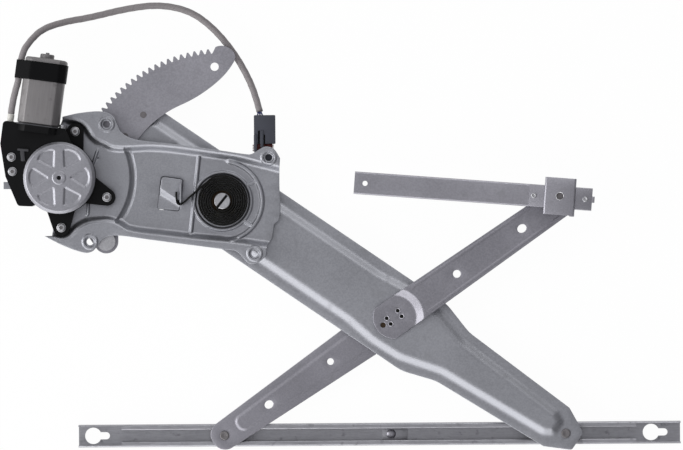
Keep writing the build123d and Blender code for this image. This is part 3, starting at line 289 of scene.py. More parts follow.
class Paint(Nodes):
    """One procedural material round a Principled shader."""

    def __init__(self, name: str) -> None:
        """Start a material that has only its shader.

        Args:
            name: The material's name.
        """
        self.material = bpy.data.materials.new(name)
        self.material.use_nodes = True
        super().__init__(self.material.node_tree)
        self.output = self.node("ShaderNodeOutputMaterial", {}, {})
        self.shader = self.node("ShaderNodeBsdfPrincipled", {}, {})
        self.feed(self.output.inputs["Surface"], self.shader.outputs[0])
        self.place = self.out("ShaderNodeTexCoord", {}, "Object")

    def stretched(self, scale: Spot, turn: float = 0.0) -> Socket:
        """Object coordinates scaled along each axis, after a turn about Z in degrees."""
        spin = {"Vector": self.place, "Rotation": (0.0, 0.0, math.radians(turn))}
        return self.out("ShaderNodeMapping", {"Vector": self.out("ShaderNodeMapping", spin), "Scale": scale})

    def noise(self, scale: float, detail: float = 2.0, where: Optional[Socket] = None) -> Value:
        """Noise about 0.5, at so many cells a metre."""
        inputs = {"Vector": where or self.place, "Scale": scale, "Detail": detail}
        return Value(self, self.out("ShaderNodeTexNoise", inputs))

    def cells(self, scale: float) -> Value:
        """One random number for each crystal-like cell."""
        cell = self.out("ShaderNodeTexVoronoi", {"Vector": self.place, "Scale": scale}, "Color")
        return Value(self, self.out("ShaderNodeSeparateColor", {0: cell}))

    def blend(self, factor: Union[Value, float], first: object, second: object) -> Socket:
        """A colour between two colours."""
        ends = [(*colour, 1.0) if isinstance(colour, tuple) else colour for colour in (first, second)]
        return self.out("ShaderNodeMix", {0: factor, 6: ends[0], 7: ends[1]}, 2, data_type="RGBA")

    def bump(self, height: Value, strength: float, depth: float) -> None:
        """Feed the shader's normal from a height.

        Args:
            height: The height, from 0 to 1.
            strength: The bump's strength.
            depth: The height of 1, in metres.
        """
        bump = self.out("ShaderNodeBump", {"Strength": strength, "Distance": depth, "Height": height})
        self.feed(self.shader.inputs["Normal"], bump)

    def set(self, **inputs: object) -> None:
        """Set or link the shader's sockets by name, with _ for a space."""
        for name, given in inputs.items():
            self.feed(self.shader.inputs[name.replace("_", " ")], given)


@dataclass(frozen=True)
class SheetMetal:
    """Rolled, plated or drawn steel with its grain, blotches and smudges."""

    name: str
    colour: Colour
    stain: Colour
    roughness: float = 0.4
    metallic: float = 1.0
    grain: float = 650.0
    stretch: Spot = (1.0, 1.0, 1.0)
    turn: float = 0.0
    blotch: float = 22.0
    stained: float = 0.35
    crystals: float = 0.0
    depth: float = 0.00004
    specular: float = 0.5

    def make(self) -> Material:
        """Build the material.

        Returns:
            The material.
        """
        paint = Paint(self.name)
        along = paint.stretched(self.stretch, self.turn)
        grain = paint.noise(self.grain, 3.0, along)
        cloud = paint.noise(self.blotch, 4.0)
        smudge = paint.noise(self.blotch * 4.0, 5.0).between(0.57, 0.75) * self.stained
        tone = cloud.between(0.3, 0.7) * 0.35 + grain.between(0.3, 0.7) * 0.55
        if self.crystals:
            tone = tone + paint.cells(self.crystals) * 0.25
        light = tuple(min(1.0, c * 1.12) for c in self.colour)
        dark = tuple(c * 0.86 for c in self.colour)
        clean = paint.blend(tone, dark, light)
        paint.set(
            Base_Color=paint.blend(smudge, clean, self.stain),
            Metallic=self.metallic,
            Specular_IOR_Level=self.specular,
            Roughness=grain * 0.16 + cloud * 0.10 + smudge * 0.2 + (self.roughness - 0.13),
        )
        paint.bump(grain, 0.35, self.depth)
        return paint.material


@dataclass(frozen=True)
class Moulding:
    """Moulded plastic or rubber with a fine spark-eroded grain and dull scuffs."""

    name: str
    colour: Colour
    scuff: Colour
    roughness: float = 0.5
    pebble: float = 2600.0
    scuffed: float = 0.25
    depth: float = 0.00003
    specular: float = 0.5

    def make(self) -> Material:
        """Build the material.

        Returns:
            The material.
        """
        paint = Paint(self.name)
        pebble = paint.noise(self.pebble, 2.0)
        cloud = paint.noise(60.0, 4.0)
        worn = paint.noise(240.0, 5.0).between(0.58, 0.8) * self.scuffed
        dark = tuple(c * 0.8 for c in self.colour)
        paint.set(
            Base_Color=paint.blend(worn, paint.blend(cloud, dark, self.colour), self.scuff),
            Roughness=pebble * 0.1 + cloud * 0.12 + worn * 0.2 + (self.roughness - 0.11),
            Specular_IOR_Level=self.specular,
        )
        paint.bump(pebble, 0.3, self.depth)
        return paint.material


@dataclass(frozen=True)
class TapedSleeve:
    """Cloth tape wound round the harness: its UV map runs round the cord, then along it in metres."""

    name: str
    colour: Colour
    seam: Colour
    lap: float = TAPE_LAP

    def make(self) -> Material:
        """Build the material.

        Returns:
            The material.
        """
        paint = Paint(self.name)
        split = paint.node("ShaderNodeSeparateXYZ", {}, {0: paint.out("ShaderNodeUVMap", {}, uv_map=WRAP)})
        around, along = Value(paint, split.outputs[0]), Value(paint, split.outputs[1])
        wound = (along * (1.0 / self.lap) + around).fraction()
        edge = wound.between(0.0, 0.08) * (1.0 - wound.between(0.9, 1.0))
        weave = paint.noise(2400.0, 1.0) * 0.6 + paint.noise(700.0, 3.0) * 0.4
        cloud = paint.noise(45.0, 4.0)
        pale = tuple(min(1.0, c * 1.3) for c in self.colour)
        cloth = paint.blend(weave * 0.5 + cloud * 0.6 - 0.05, self.colour, pale)
        paint.set(
            Base_Color=paint.blend(edge * 0.35 + 0.65, self.seam, cloth),
            Roughness=weave * 0.2 + 0.6,
            Sheen_Weight=0.15,
        )
        paint.bump(weave * 0.6 + edge * 0.4, 0.5, 0.0001)
        return paint.material


Recipe = Union[SheetMetal, Moulding, TapedSleeve]
ZINC_STAIN: Colour = (0.19, 0.19, 0.2)
RECIPES: Tuple[Recipe, ...] = (
    SheetMetal("zinc_sheet", (0.345, 0.35, 0.378), ZINC_STAIN, 0.47, blotch=16.0, stained=0.3),
    SheetMetal("zinc_arm", (0.298, 0.293, 0.325), ZINC_STAIN, 0.47),
    SheetMetal("zinc_pale", (0.36, 0.355, 0.39), ZINC_STAIN, 0.45, stained=0.3),
    SheetMetal("channel_sheet", (0.36, 0.36, 0.385), (0.12, 0.12, 0.13), 0.42, stretch=(0.12, 1.0, 1.0),
               blotch=34.0, stained=0.5, crystals=420.0),
    SheetMetal("cover_sheet", (0.335, 0.335, 0.365), ZINC_STAIN, 0.5, stained=0.12),
    SheetMetal("bright_zinc", (0.5, 0.5, 0.52), ZINC_STAIN, 0.38, blotch=90.0),
    SheetMetal("dull_steel", (0.2, 0.19, 0.195), (0.09, 0.08, 0.075), 0.5, blotch=90.0),
    SheetMetal("drawn_can", (0.225, 0.217, 0.22), (0.09, 0.082, 0.082), 0.6, grain=900.0,
               stretch=(1.0, 0.04, 1.0), turn=7.9, stained=0.5),
    SheetMetal("black_steel", (0.0045, 0.0045, 0.004), (0.02, 0.018, 0.012), 0.36, metallic=0.0,
               grain=1800.0, specular=0.12),
    Moulding("black_plastic", (0.0055, 0.0055, 0.006), (0.012, 0.012, 0.014), 0.4, specular=0.1),
    # A lighter grey than the black case, for its rib and lip
    Moulding("lighter_case_plastic", (0.05, 0.05, 0.055), (0.03, 0.03, 0.032), scuffed=0.5, specular=0.2),
    Moulding("white_plastic", (0.62, 0.61, 0.57), (0.4, 0.39, 0.36), 0.45),
    Moulding("slate_plastic", (0.052, 0.055, 0.07), (0.075, 0.08, 0.1), specular=0.25),
    Moulding("red_rubber", (0.085, 0.012, 0.01), (0.05, 0.01, 0.01), specular=0.3),
    Moulding("black_rubber", (0.004, 0.004, 0.0045), (0.008, 0.008, 0.009), 0.6, specular=0.06),
    TapedSleeve("taped_sleeve", (0.17, 0.156, 0.16), (0.11, 0.1, 0.104)),
    Moulding("blue_wire", (0.012, 0.02, 0.12), (0.02, 0.02, 0.05), 0.35, specular=0.3),
    SheetMetal("sintered_bronze", (0.42, 0.27, 0.13), (0.2, 0.12, 0.06), 0.5, grain=3000.0),
    # Dark finish as painted shade: it stands for the dark gap round the pivot bush and the shade in the hub's
    # small hole
    SheetMetal("gap_shade_bush", (0.06, 0.042, 0.028), (0.02, 0.02, 0.02), 0.5, grain=3000.0),
    Moulding("ferrite", (0.05, 0.05, 0.055), (0.03, 0.03, 0.03), 0.6),
    SheetMetal("enamelled_copper", (0.5, 0.2, 0.08), (0.2, 0.07, 0.03), 0.35, grain=900.0),
)
SLOT_FINISH = {
    "galvanised_steel": "zinc_sheet", "bright_steel": "bright_zinc", "can_steel": "drawn_can",
    "black_spring_steel": "black_steel", "black_plastic": "black_plastic", "white_plastic": "white_plastic",
    "grey_plastic": "slate_plastic", "red_seal": "red_rubber", "black_rubber": "black_rubber",
    "harness_sleeve": "taped_sleeve", "wire": "blue_wire", "bronze": "sintered_bronze", "magnet": "ferrite",
    "copper": "enamelled_copper",
}
# The pivot bush takes the dark finish, as painted shade of the gap round it
NODE_FINISH = {"sector_gear": "zinc_pale", "sector_rivets": "dull_steel", "pivot_bush": "gap_shade_bush"}


class Finishes:
    """Every finish of the regulator, made once and asked for by its name."""

    def __init__(self) -> None:
        """Make the materials in order."""
        self.made = {recipe.name: recipe.make() for recipe in RECIPES}

    def __getitem__(self, name: str) -> Material:
        """The finish of a name."""
        return self.made[name]


# Outlines


def through(points: Sequence[Place], step: float = 2.0) -> Loop:
    """A smooth line through given places.

    Args:
        points: The places, in order.
        step: About how far apart the new places are, in millimetres.

    Returns:
        The places along the smooth line.
    """
    count = len(points)
    line: Loop = []
    for k in range(count - 1):
        a, b, c, d = points[max(k - 1, 0)], points[k], points[k + 1], points[min(k + 2, count - 1)]
        run = math.dist(b, c)
        parts = max(1, round(run / step))
        before, after = run / max(math.dist(a, c), TINY), run / max(math.dist(b, d), TINY)
        leave = [(c[i] - a[i]) * before for i in (0, 1)]
        reach = [(d[i] - b[i]) * after for i in (0, 1)]
        for j in range(parts):
            t = j / parts
            h = (2 * t**3 - 3 * t**2 + 1, t**3 - 2 * t**2 + t, 3 * t**2 - 2 * t**3, t**3 - t**2)
            line.append(tuple(h[0] * b[i] + h[1] * leave[i] + h[2] * c[i] + h[3] * reach[i] for i in (0, 1)))
    return line + [tuple(points[-1])]


def rounded(points: Sequence[Place], radii: Sequence[float], step: float = 12.0) -> Loop:
    """A closed outline of straight lines with rounded corners.

    Args:
        points: The corners.
        radii: One radius for each corner.
        step: Degrees between the places on an arc.

    Returns:
        The outline's places.
    """
    loop: Loop = []
    count = len(points)
    for k, radius in enumerate(radii):
        a, b, c = (Vector(points[(k + j) % count]) for j in (-1, 0, 1))
        into, out = (b - a).normalized(), (c - b).normalized()
        turn = math.acos(max(-1.0, min(1.0, into.dot(out))))
        side = 1.0 if into.x * out.y - into.y * out.x > 0 else -1.0
        reach = radius * math.tan(turn / 2)
        centre = b - into * reach + Vector((-into.y, into.x)) * side * radius
        start = math.atan2(*(b - into * reach - centre).yx)
        parts = max(1, round(math.degrees(turn) / step))
        for j in range(parts + 1):
            angle = start + side * turn * j / parts
            loop.append((centre.x + radius * math.cos(angle), centre.y + radius * math.sin(angle)))
    return loop


def circle(centre: Place, radius: float, count: int = 40) -> Loop:
    """A round outline."""
    return [polar(radius, 360.0 * k / count, centre) for k in range(count)]


def oval(centre: Place, long: float, wide: float, count: int = 28) -> Loop:
    """An oval outline, long along X."""
    angles = np.linspace(0, 2 * math.pi, count + 1)[:-1]
    return [(centre[0] + long * math.cos(t), centre[1] + wide * math.sin(t)) for t in angles]


def resampled(loop: Loop, step: float) -> Loop:
    """A closed outline with long lines divided.

    Args:
        loop: The outline.
        step: The longest line that stays whole.

    Returns:
        The outline with its new places.
    """
    result: Loop = []
    for a, b in zip(loop, loop[1:] + loop[:1]):
        parts = max(1, math.ceil(math.dist(a, b) / step))
        result += [(a[0] + (b[0] - a[0]) * j / parts, a[1] + (b[1] - a[1]) * j / parts) for j in range(parts)]
    return result


def mirrored(upper: Sequence[Place], radii: Sequence[float], step: float) -> Loop:
    """A rounded outline from its corners above the X axis, the same below it."""
    return rounded(list(upper) + [(x, -y) for x, y in reversed(upper)], list(radii) + list(radii)[::-1], step)


def signed_area(loop: Sequence[Place]) -> float:
    """The area in an outline, positive when it runs anticlockwise."""
    return sum(a[0] * b[1] - b[0] * a[1] for a, b in zip(loop, list(loop[1:]) + [loop[0]])) / 2


def shifted(loop: Sequence[Place], inward: float, closed: bool = True) -> Loop:
    """A line moved sideways, inward for a closed outline and to the left of an open line.

    Args:
        loop: The line's places.
        inward: How far it moves, in millimetres.
        closed: Whether it is an outline.

    Returns:
        The moved line.
    """
    places = np.array(loop, float)
    if closed:
        ahead, behind = np.roll(places, -1, 0), np.roll(places, 1, 0)
        side = 1.0 if signed_area(loop) > 0 else -1.0
    else:
        ahead = np.vstack([places[1:], 2 * places[-1] - places[-2]])
        behind = np.vstack([2 * places[0] - places[1], places[:-1]])
        side = 1.0
    along = ahead - behind
    along /= np.maximum(np.linalg.norm(along, axis=1, keepdims=True), TINY)
    normal = np.stack([-along[:, 1], along[:, 0]], 1)
    return [tuple(p) for p in places + normal * inward * side]


def distance_to(points: np.ndarray, line: Sequence[Place], closed: bool) -> np.ndarray:
    """How far each point is from a line, in millimetres.

    Args:
        points: The points.
        line: The line's places.
        closed: Whether it comes back to its start.

    Returns:
        One distance for each point.
    """
    ends = np.array(line, float)
    starts = ends if closed else ends[:-1]
    stops = np.roll(ends, -1, 0) if closed else ends[1:]
    best = np.full(len(points), 1e9)
    for a, b in zip(starts, stops):
        run = b - a
        t = np.clip(((points - a) @ run) / max(run @ run, TINY), 0.0, 1.0)
        best = np.minimum(best, np.linalg.norm(points - a - t[:, None] * run, axis=1))
    return best


def inside(points: np.ndarray, loop: Sequence[Place]) -> np.ndarray:
    """Whether each point is inside an outline.

    Args:
        points: The points.
        loop: The outline.

    Returns:
        One answer for each point.
    """
    found = np.zeros(len(points), bool)
    x, y = points[:, 0], points[:, 1]
    for (ax, ay), (bx, by) in zip(loop, list(loop[1:]) + [loop[0]]):
        crosses = (ay > y) != (by > y)
        if ay != by:
            found ^= crosses & (x < (bx - ax) * (y - ay) / (by - ay) + ax)
    return found


def bent(value: np.ndarray, soft: float) -> np.ndarray:
    """Nothing below zero and the number itself above it, with a smooth bend between."""
    return np.where(value < -soft, 0.0, np.where(value > soft, value, (value + soft) ** 2 / (4 * soft)))


def ramp(distance: np.ndarray, start: float, end: float, soft: float) -> np.ndarray:
    """A rise from 0 to 1 between two distances, with rounded bends.

    Args:
        distance: The distances.
        start: Where the rise starts.
        end: Where it ends.
        soft: Half the length of each bend, as a share of the rise's run.

    Returns:
        The share of the rise at each distance.
    """
    share = (distance - start) / (end - start)
    return np.clip(bent(share, soft) - bent(share - 1.0, soft), 0.0, 1.0)


@dataclass
class Step:
    """A change of level inside an outline, over a slope along it."""

    loop: Loop
    rise: float
    start: float
    end: float
    soft: float = 0.3

    def height(self, points: np.ndarray) -> np.ndarray:
        """The rise at each point."""
        inward = distance_to(points, self.loop, True) * np.where(inside(points, self.loop), 1.0, -1.0)
        return self.rise * ramp(inward, self.start, self.end, self.soft)

    def lines(self) -> List[Tuple[Loop, bool]]:
        """Lines along the bends, for the mesh to follow.

        Returns:
            The lines, each with whether it is closed.
        """
        run = self.end - self.start
        shares = [-self.soft - 0.2, -self.soft, -self.soft / 2, 0.0, self.soft / 2, self.soft]
        wanted = [self.start + run * s for s in shares] + [self.end - run * s for s in shares]
        return [(shifted(self.loop, d), True) for d in sorted(set(wanted))]


@dataclass
class Bead:
    """A low rounded ridge along a line."""

    line: Loop
    half: float
    rise: float
    closed: bool = False
    flat: float = 0.2

    def height(self, points: np.ndarray) -> np.ndarray:
        """The rise at each point, level over the flat share of the ridge's half width."""
        share = np.clip(distance_to(points, self.line, self.closed) / self.half, 0.0, 1.0)
        down = np.clip((1.0 - share) / (1.0 - self.flat), 0.0, 1.0)
        return self.rise * down * down * (3.0 - 2.0 * down)

    def lines(self) -> List[Tuple[Loop, bool]]:
        """Lines along the ridge, for the mesh to follow.

        Returns:
            The lines, each with whether it is closed.
        """
        slope = 1.0 - self.flat
        shares = [self.flat * 0.5] + [self.flat + slope * s for s in (0.1, 0.3, 0.5, 0.7, 0.9, 1.0, 1.2)]
        wanted = sorted([-s for s in shares] + [0.0] + shares)
        return [(shifted(self.line, self.half * s, self.closed), self.closed) for s in wanted]


@dataclass
class Merged:
    """Ridges that run into each other: the highest of them counts at each point."""

    beads: List[Bead]

    def height(self, points: np.ndarray) -> np.ndarray:
        """The rise at each point."""
        return np.max([bead.height(points) for bead in self.beads], axis=0)

    def lines(self) -> List[Tuple[Loop, bool]]:
        """Lines along every ridge."""
        return [line for bead in self.beads for line in bead.lines()]


@dataclass
class Fold:
    """A part of the sheet that is bent up beyond a straight line, as far as a height."""

    start: Place
    end: Place
    steep: float
    most: float
    soft: float = 1.5

    def height(self, points: np.ndarray) -> np.ndarray:
        """The rise at each point."""
        along = (np.array(self.end) - self.start) / math.dist(self.start, self.end)
        beyond = (points - self.start) @ np.array((-along[1], along[0]))
        return np.minimum(self.steep * bent(beyond, self.soft), self.most)

    def lines(self) -> List[Tuple[Loop, bool]]:
        """Lines along the fold, and where it levels out."""
        top = self.most / self.steep
        wanted = (-self.soft, 0.0, self.soft, top / 2, top - 0.4, top + 0.4)
        return [(shifted([self.start, self.end], d, False), False) for d in wanted]


Feature = Union[Step, Bead, Merged, Fold]


# Modelling


def only(piece: Solid) -> Solid:
    """Select one object alone and make it active.

    Args:
        piece: The piece.

    Returns:
        The same piece.
    """
    bpy.ops.object.select_all(action="DESELECT")
    piece.select_set(True)
    bpy.context.view_layer.objects.active = piece
    return piece


def new_piece(name: str, vertices: Sequence[Sequence[float]], faces: Sequence[Sequence[int]],
              edges: Sequence[Sequence[int]] = ()) -> Solid:
    """A mesh object at the origin from places in metres.

    Args:
        name: The piece's name.
        vertices: Its places.
        faces: Its faces, as numbers of places.
        edges: Its loose edges.

    Returns:
        The piece.
    """
    mesh = bpy.data.meshes.new(name)
    mesh.from_pydata([tuple(v) for v in vertices], [tuple(e) for e in edges], [tuple(f) for f in faces])
    mesh.update()
    piece = bpy.data.objects.new(name, mesh)
    bpy.context.scene.collection.objects.link(piece)
    return only(piece)


def wire(name: str, places: Sequence[Spot], closed: bool = False) -> Solid:
    """A line of edges from place to place, in metres."""
    count = len(places)
    return new_piece(name, places, [], [(k, (k + 1) % count) for k in range(count if closed else count - 1)])


@contextmanager
def editing(piece: Solid, *, everything: bool = True) -> Iterator[None]:
    """Edit mode on one piece, with everything selected unless its own selection is wanted.

    Args:
        piece: The piece.
        everything: Whether all of it is selected.

    Yields:
        Nothing.
    """
    only(piece)
    bpy.ops.object.mode_set(mode="EDIT")
    if everything:
        bpy.ops.mesh.select_all(action="SELECT")
    yield
    bpy.ops.object.mode_set(mode="OBJECT")


def extruded(piece: Solid, *moves: Spot) -> Solid:
    """Extrude a whole piece by moves in metres, one after another.

    Args:
        piece: The piece.
        moves: The moves.

    Returns:
        The same piece.
    """
    with editing(piece):
        for move in moves:
            bpy.ops.mesh.extrude_region_move(TRANSFORM_OT_translate={"value": move})
    return piece


def tidied(piece: Solid, merge: bool = True) -> Solid:
    """Merge a piece's doubles, unless it has none by its making, and turn its faces outwards.

    Args:
        piece: The piece.
        merge: Whether doubles are merged.

    Returns:
        The same piece.
    """
    with editing(piece):
        if merge:
            bpy.ops.mesh.remove_doubles(threshold=MERGE)
        bpy.ops.mesh.normals_make_consistent(inside=False)
    return piece


def opened(piece: Solid, gone: Callable[[bpy.types.MeshPolygon], bool]) -> Solid:
    """Delete the faces that a test picks.

    Args:
        piece: The piece.
        gone: The test of a face.

    Returns:
        The same piece.
    """
    only(piece)
    for face in piece.data.polygons:
        face.select = gone(face)
    with editing(piece, everything=False):
        bpy.ops.mesh.delete(type="FACE")
    return piece


def modified(piece: Solid, kind: str, **settings: object) -> Solid:
    """Add one modifier with its settings and apply it.

    Args:
        piece: The piece.
        kind: The modifier's type.
        settings: Its settings, by name.

    Returns:
        The same piece.
    """
    only(piece)
    bpy.ops.object.modifier_add(type=kind)
    modifier = piece.modifiers[-1]
    for name, setting in settings.items():
        setattr(modifier, name, setting)
    bpy.ops.object.modifier_apply(modifier=modifier.name)
    return piece


def finished(piece: Solid, finish: Material, smooth: float = SMOOTH) -> Solid:
    """Clean a finished mesh, put its place in its mesh, and give it its finish.

    Args:
        piece: The piece.
        finish: Its material.
        smooth: The angle up to which its faces are smooth, in degrees.

    Returns:
        The same piece.
    """
    only(piece)
    bpy.ops.object.transform_apply(location=True, rotation=True, scale=True)
    tidied(piece)
    bpy.ops.object.shade_smooth_by_angle(angle=math.radians(smooth))
    piece.data.materials.clear()
    piece.data.materials.append(finish)
    return piece


def prism(name: str, loop: Sequence[Place], low: float, high: float, place: Matrix = HOME) -> Solid:
    """A flat outline extruded between two levels.

    Args:
        name: The piece's name.
        loop: The outline, in millimetres.
        low: The level of its lower face.
        high: The level of its upper face.
        place: The outline's own frame, in metres.

    Returns:
        The closed solid.
    """
    piece = new_piece(name, [(x * MM, y * MM, low * MM) for x, y in loop], [range(len(loop))])
    tidied(extruded(piece, (0.0, 0.0, (high - low) * MM)), merge=False)
    piece.data.transform(place)
    return piece


def lathe(name: str, profile: Sequence[Place], place: Matrix = HOME, steps: int = 40) -> Solid:
    """A profile spun about Z.

    Args:
        name: The piece's name.
        profile: Radius and height of each corner, in millimetres, from axis to axis or closed by its start.
        place: The profile's own frame, in metres.
        steps: Corners in each ring.

    Returns:
        The closed solid.
    """
    piece = wire(name, [(r * MM, 0.0, z * MM) for r, z in profile], profile[0][0] > 0.0)
    with editing(piece):
        bpy.ops.mesh.spin(steps=steps, angle=2 * math.pi, center=(0.0, 0.0, 0.0), axis=(0.0, 0.0, 1.0))
    tidied(piece).data.transform(place)
    return piece


def upright(x: float, y: float) -> Matrix:
    """An upright frame at a place about the pivot, with levels counted as everywhere here."""
    return Matrix.Translation(at(x, y, 0.0))


def lobed(radius: float, share: float = 0.13, lobes: int = 6, count: int = 48) -> Loop:
    """The outline of a six-lobed recess."""
    angles = [360.0 * k / count for k in range(count)]
    return [polar(radius * (1.0 + share * math.cos(math.radians(lobes * angle))), angle) for angle in angles]


def shown(piece: Solid, body: str, slot: str, *nodes: str) -> Solid:
    """Let a piece stand for nodes, and let it ride on a body.

    Args:
        piece: The piece.
        body: The body.
        slot: The material slot; not used.
        nodes: The nodes.

    Returns:
        The same piece.
    """
    if nodes:
        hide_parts(*nodes)
    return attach(piece, body)


def joined(name: str, pieces: Sequence[Solid]) -> Solid:
    """Join meshes into one piece.

    Args:
        name: The whole piece's name.
        pieces: The pieces.

    Returns:
        The whole piece.
    """
    bpy.ops.object.select_all(action="DESELECT")
    for piece in pieces:
        piece.select_set(True)
    bpy.context.view_layer.objects.active = pieces[0]
    if len(pieces) > 1:
        bpy.ops.object.join()
    pieces[0].name = name
    pieces[0].data.name = name
    return pieces[0]


def bevelled(piece: Solid, width: float, segments: int = 2, angle: float = 40.0) -> Solid:
    """Round a piece's sharp edges by a width in millimetres.

    Args:
        piece: The piece.
        width: The width.
        segments: How many faces are across it.
        angle: The angle from which an edge is sharp, in degrees.

    Returns:
        The same piece.
    """
    return modified(
        piece, "BEVEL", width=width * MM, segments=segments, limit_method="ANGLE",
        angle_limit=math.radians(angle), use_clamp_overlap=True, miter_outer="MITER_ARC",
    )


def cut(piece: Solid, cutter: Solid) -> Solid:
    """Cut a piece with another, which is then removed and whose finish stays in the cut.

    Args:
        piece: The piece.
        cutter: The piece that is taken away.

    Returns:
        The same piece.
    """
    modified(
        piece, "BOOLEAN", object=cutter, operation="DIFFERENCE", solver="EXACT", material_mode="TRANSFER")
    bpy.data.objects.remove(cutter)
    only(piece)
    bpy.ops.object.shade_smooth_by_angle(angle=math.radians(SMOOTH))
    return piece


def copied(piece: Solid, moves: Sequence[Place]) -> Solid:
    """A piece joined with copies of itself, each with its own mesh, moved in millimetres.

    Args:
        piece: The piece.
        moves: One move for each copy.

    Returns:
        The whole piece.
    """
    made = [piece]
    for x, y in moves:
        only(piece)
        bpy.ops.object.duplicate(linked=False)
        twin = bpy.context.view_layer.objects.active
        twin.data.transform(Matrix.Translation((x * MM, y * MM, 0.0)))
        made.append(twin)
    return joined(piece.name, made)


def box(name: str, x: Place, y: Place, z: Place, edge: float, finish: Material) -> Solid:
    """A block between limits in millimetres, with rounded edges."""
    block = prism(name, [(x[0], y[0]), (x[1], y[0]), (x[1], y[1]), (x[0], y[1])], *z)
    return finished(bevelled(block, edge), finish)


def nurbs(name: str, places: Sequence[Vector]) -> Solid:
    """A smooth line through a route, which it touches at both ends.

    Args:
        name: The line's name.
        places: The route, in metres.

    Returns:
        The curve.
    """
    curve = bpy.data.curves.new(name, "CURVE")
    curve.dimensions = "3D"
    spline = curve.splines.new("NURBS")
    spline.points.add(len(places) - 1)
    for point, place in zip(spline.points, places):
        point.co = (*place, 1.0)
    spline.order_u = 3
    spline.use_endpoint_u = True
    line = bpy.data.objects.new(name, curve)
    bpy.context.scene.collection.objects.link(line)
    return line


def folded_bar(name: str, line: Sequence[Place], stations: Sequence[float], thickness: float,
               closed: bool = False) -> Solid:
    """A sheet bent along X: its section's outer line extruded through stations.

    Args:
        name: The piece's name.
        line: The section's outer face, across and up, in millimetres.
        stations: Places along X.
        thickness: The sheet's thickness, inwards.
        closed: Whether the section closes on itself.

    Returns:
        The bar along X, before its ends are shaped.
    """
    bar = wire(name, [(stations[0] * MM, y * MM, z * MM) for y, z in line], closed)
    extruded(bar, *[((high - low) * MM, 0.0, 0.0) for low, high in zip(stations, stations[1:])])
    middle = Vector((0.0, sum(y for y, _ in line) / len(line), sum(z for _, z in line) / len(line))) * MM
    outward = 0.0
    for face in bar.data.polygons:
        reach = face.center - middle
        outward += face.normal.dot(Vector((0.0, reach.y, reach.z))) * face.area
    if outward < 0.0:
        bar.data.flip_normals()
    return modified(bar, "SOLIDIFY", thickness=thickness * MM, offset=-1.0, use_even_offset=True)


@dataclass
class PressedSheet:
    """A sheet pressed from one blank, whose mesh follows its bends and whose rims are rounded."""

    name: str
    edge: Loop
    holes: List[Loop]
    features: List[Feature]
    top: float
    thickness: float
    grid: float = 14.0
    rim: float = 0.55

    def level(self, points: np.ndarray) -> np.ndarray:
        """The height of the sheet's upper face at each point, in millimetres.

        Args:
            points: The points.

        Returns:
            One height for each point.
        """
        height = np.full(len(points), self.top)
        for feature in self.features:
            height += feature.height(points)
        return height

    def rounding(self, points: np.ndarray) -> np.ndarray:
        """How far a face falls back at each point to round the rims."""
        near = np.min([distance_to(points, loop, True) for loop in [self.edge] + self.holes], axis=0)
        left = np.clip(self.rim - near, 0.0, self.rim)
        return self.rim - np.sqrt(self.rim**2 - left**2)

    def blank(self) -> Tuple[np.ndarray, np.ndarray]:
        """The flat triangles of the blank, along every rim and bend.

        Returns:
            The places, and the triangles as numbers of places.
        """
        lines = [(self.edge, True)] + [(hole, True) for hole in self.holes]
        for share in (0.12, 0.45, 1.0):
            lines.append((shifted(self.edge, self.rim * share), True))
            lines += [(shifted(hole, -self.rim * share), True) for hole in self.holes]
        lines += [line for feature in self.features for line in feature.lines()]
        points: Loop = []
        edges: List[Tuple[int, int]] = []
        for loop, closed in lines:
            first = len(points)
            points += [tuple(p) for p in loop]
            count = len(loop)
            edges += [(first + k, first + (k + 1) % count) for k in range(count if closed else count - 1)]
        low, high = np.min(self.edge, 0), np.max(self.edge, 0)
        points += [
            (x, y)
            for x in np.arange(low[0] + 3.0, high[0], self.grid)
            for y in np.arange(low[1] + 3.0, high[1], self.grid)
        ]
        found = delaunay_2d_cdt([Vector(p) for p in points], edges, [], 0, 1e-4)
        flat = np.array([tuple(v) for v in found[0]], float)
        faces = np.array([tuple(f) for f in found[2]], int)
        middles = flat[faces].mean(1)
        keep = inside(middles, self.edge)
        for hole in self.holes:
            keep &= ~inside(middles, hole)
        a, b = flat[faces[:, 1]] - flat[faces[:, 0]], flat[faces[:, 2]] - flat[faces[:, 0]]
        turn = a[:, 0] * b[:, 1] - a[:, 1] * b[:, 0]
        keep &= np.abs(turn) > SLIVER
        faces = np.where((turn < 0)[:, None], faces[:, ::-1], faces)[keep]
        used = np.unique(faces)
        order = np.full(len(flat), -1)
        order[used] = np.arange(len(used))
        return flat[used], order[faces]

    def build(self, place: Matrix = HOME) -> Solid:
        """Mesh the sheet with its thickness.

        Args:
            place: The blank's own frame, in metres.

        Returns:
            The sheet as a closed shell.
        """
        flat, faces = self.blank()
        height = self.level(flat)
        corners = np.column_stack([flat, height])[faces]
        normals = np.cross(corners[:, 1] - corners[:, 0], corners[:, 2] - corners[:, 0])
        total = np.zeros((len(flat), 3))
        for k in range(3):
            np.add.at(total, faces[:, k], normals)
        upright_share = total[:, 2] / np.maximum(np.linalg.norm(total, axis=1), TINY)
        drop = self.thickness / np.clip(upright_share, 0.5, 1.0)
        fall = self.rounding(flat)
        count = len(flat)
        upper = np.column_stack([flat, height - fall])
        lower = np.column_stack([flat, height - drop + fall])
        sides = {}
        for a, b, c in faces:
            for edge in ((a, b), (b, c), (c, a)):
                sides[edge] = sides.get(edge[::-1], 0) + 1
        walls = [(b, a, a + count, b + count) for a, b in sides if (b, a) not in sides]
        shell = [tuple(f) for f in faces] + [tuple(f[::-1] + count) for f in faces] + walls
        sheet = new_piece(self.name, np.vstack([upper, lower]) * MM, shell)
        sheet.data.transform(place)
        return sheet


# Sub-assemblies


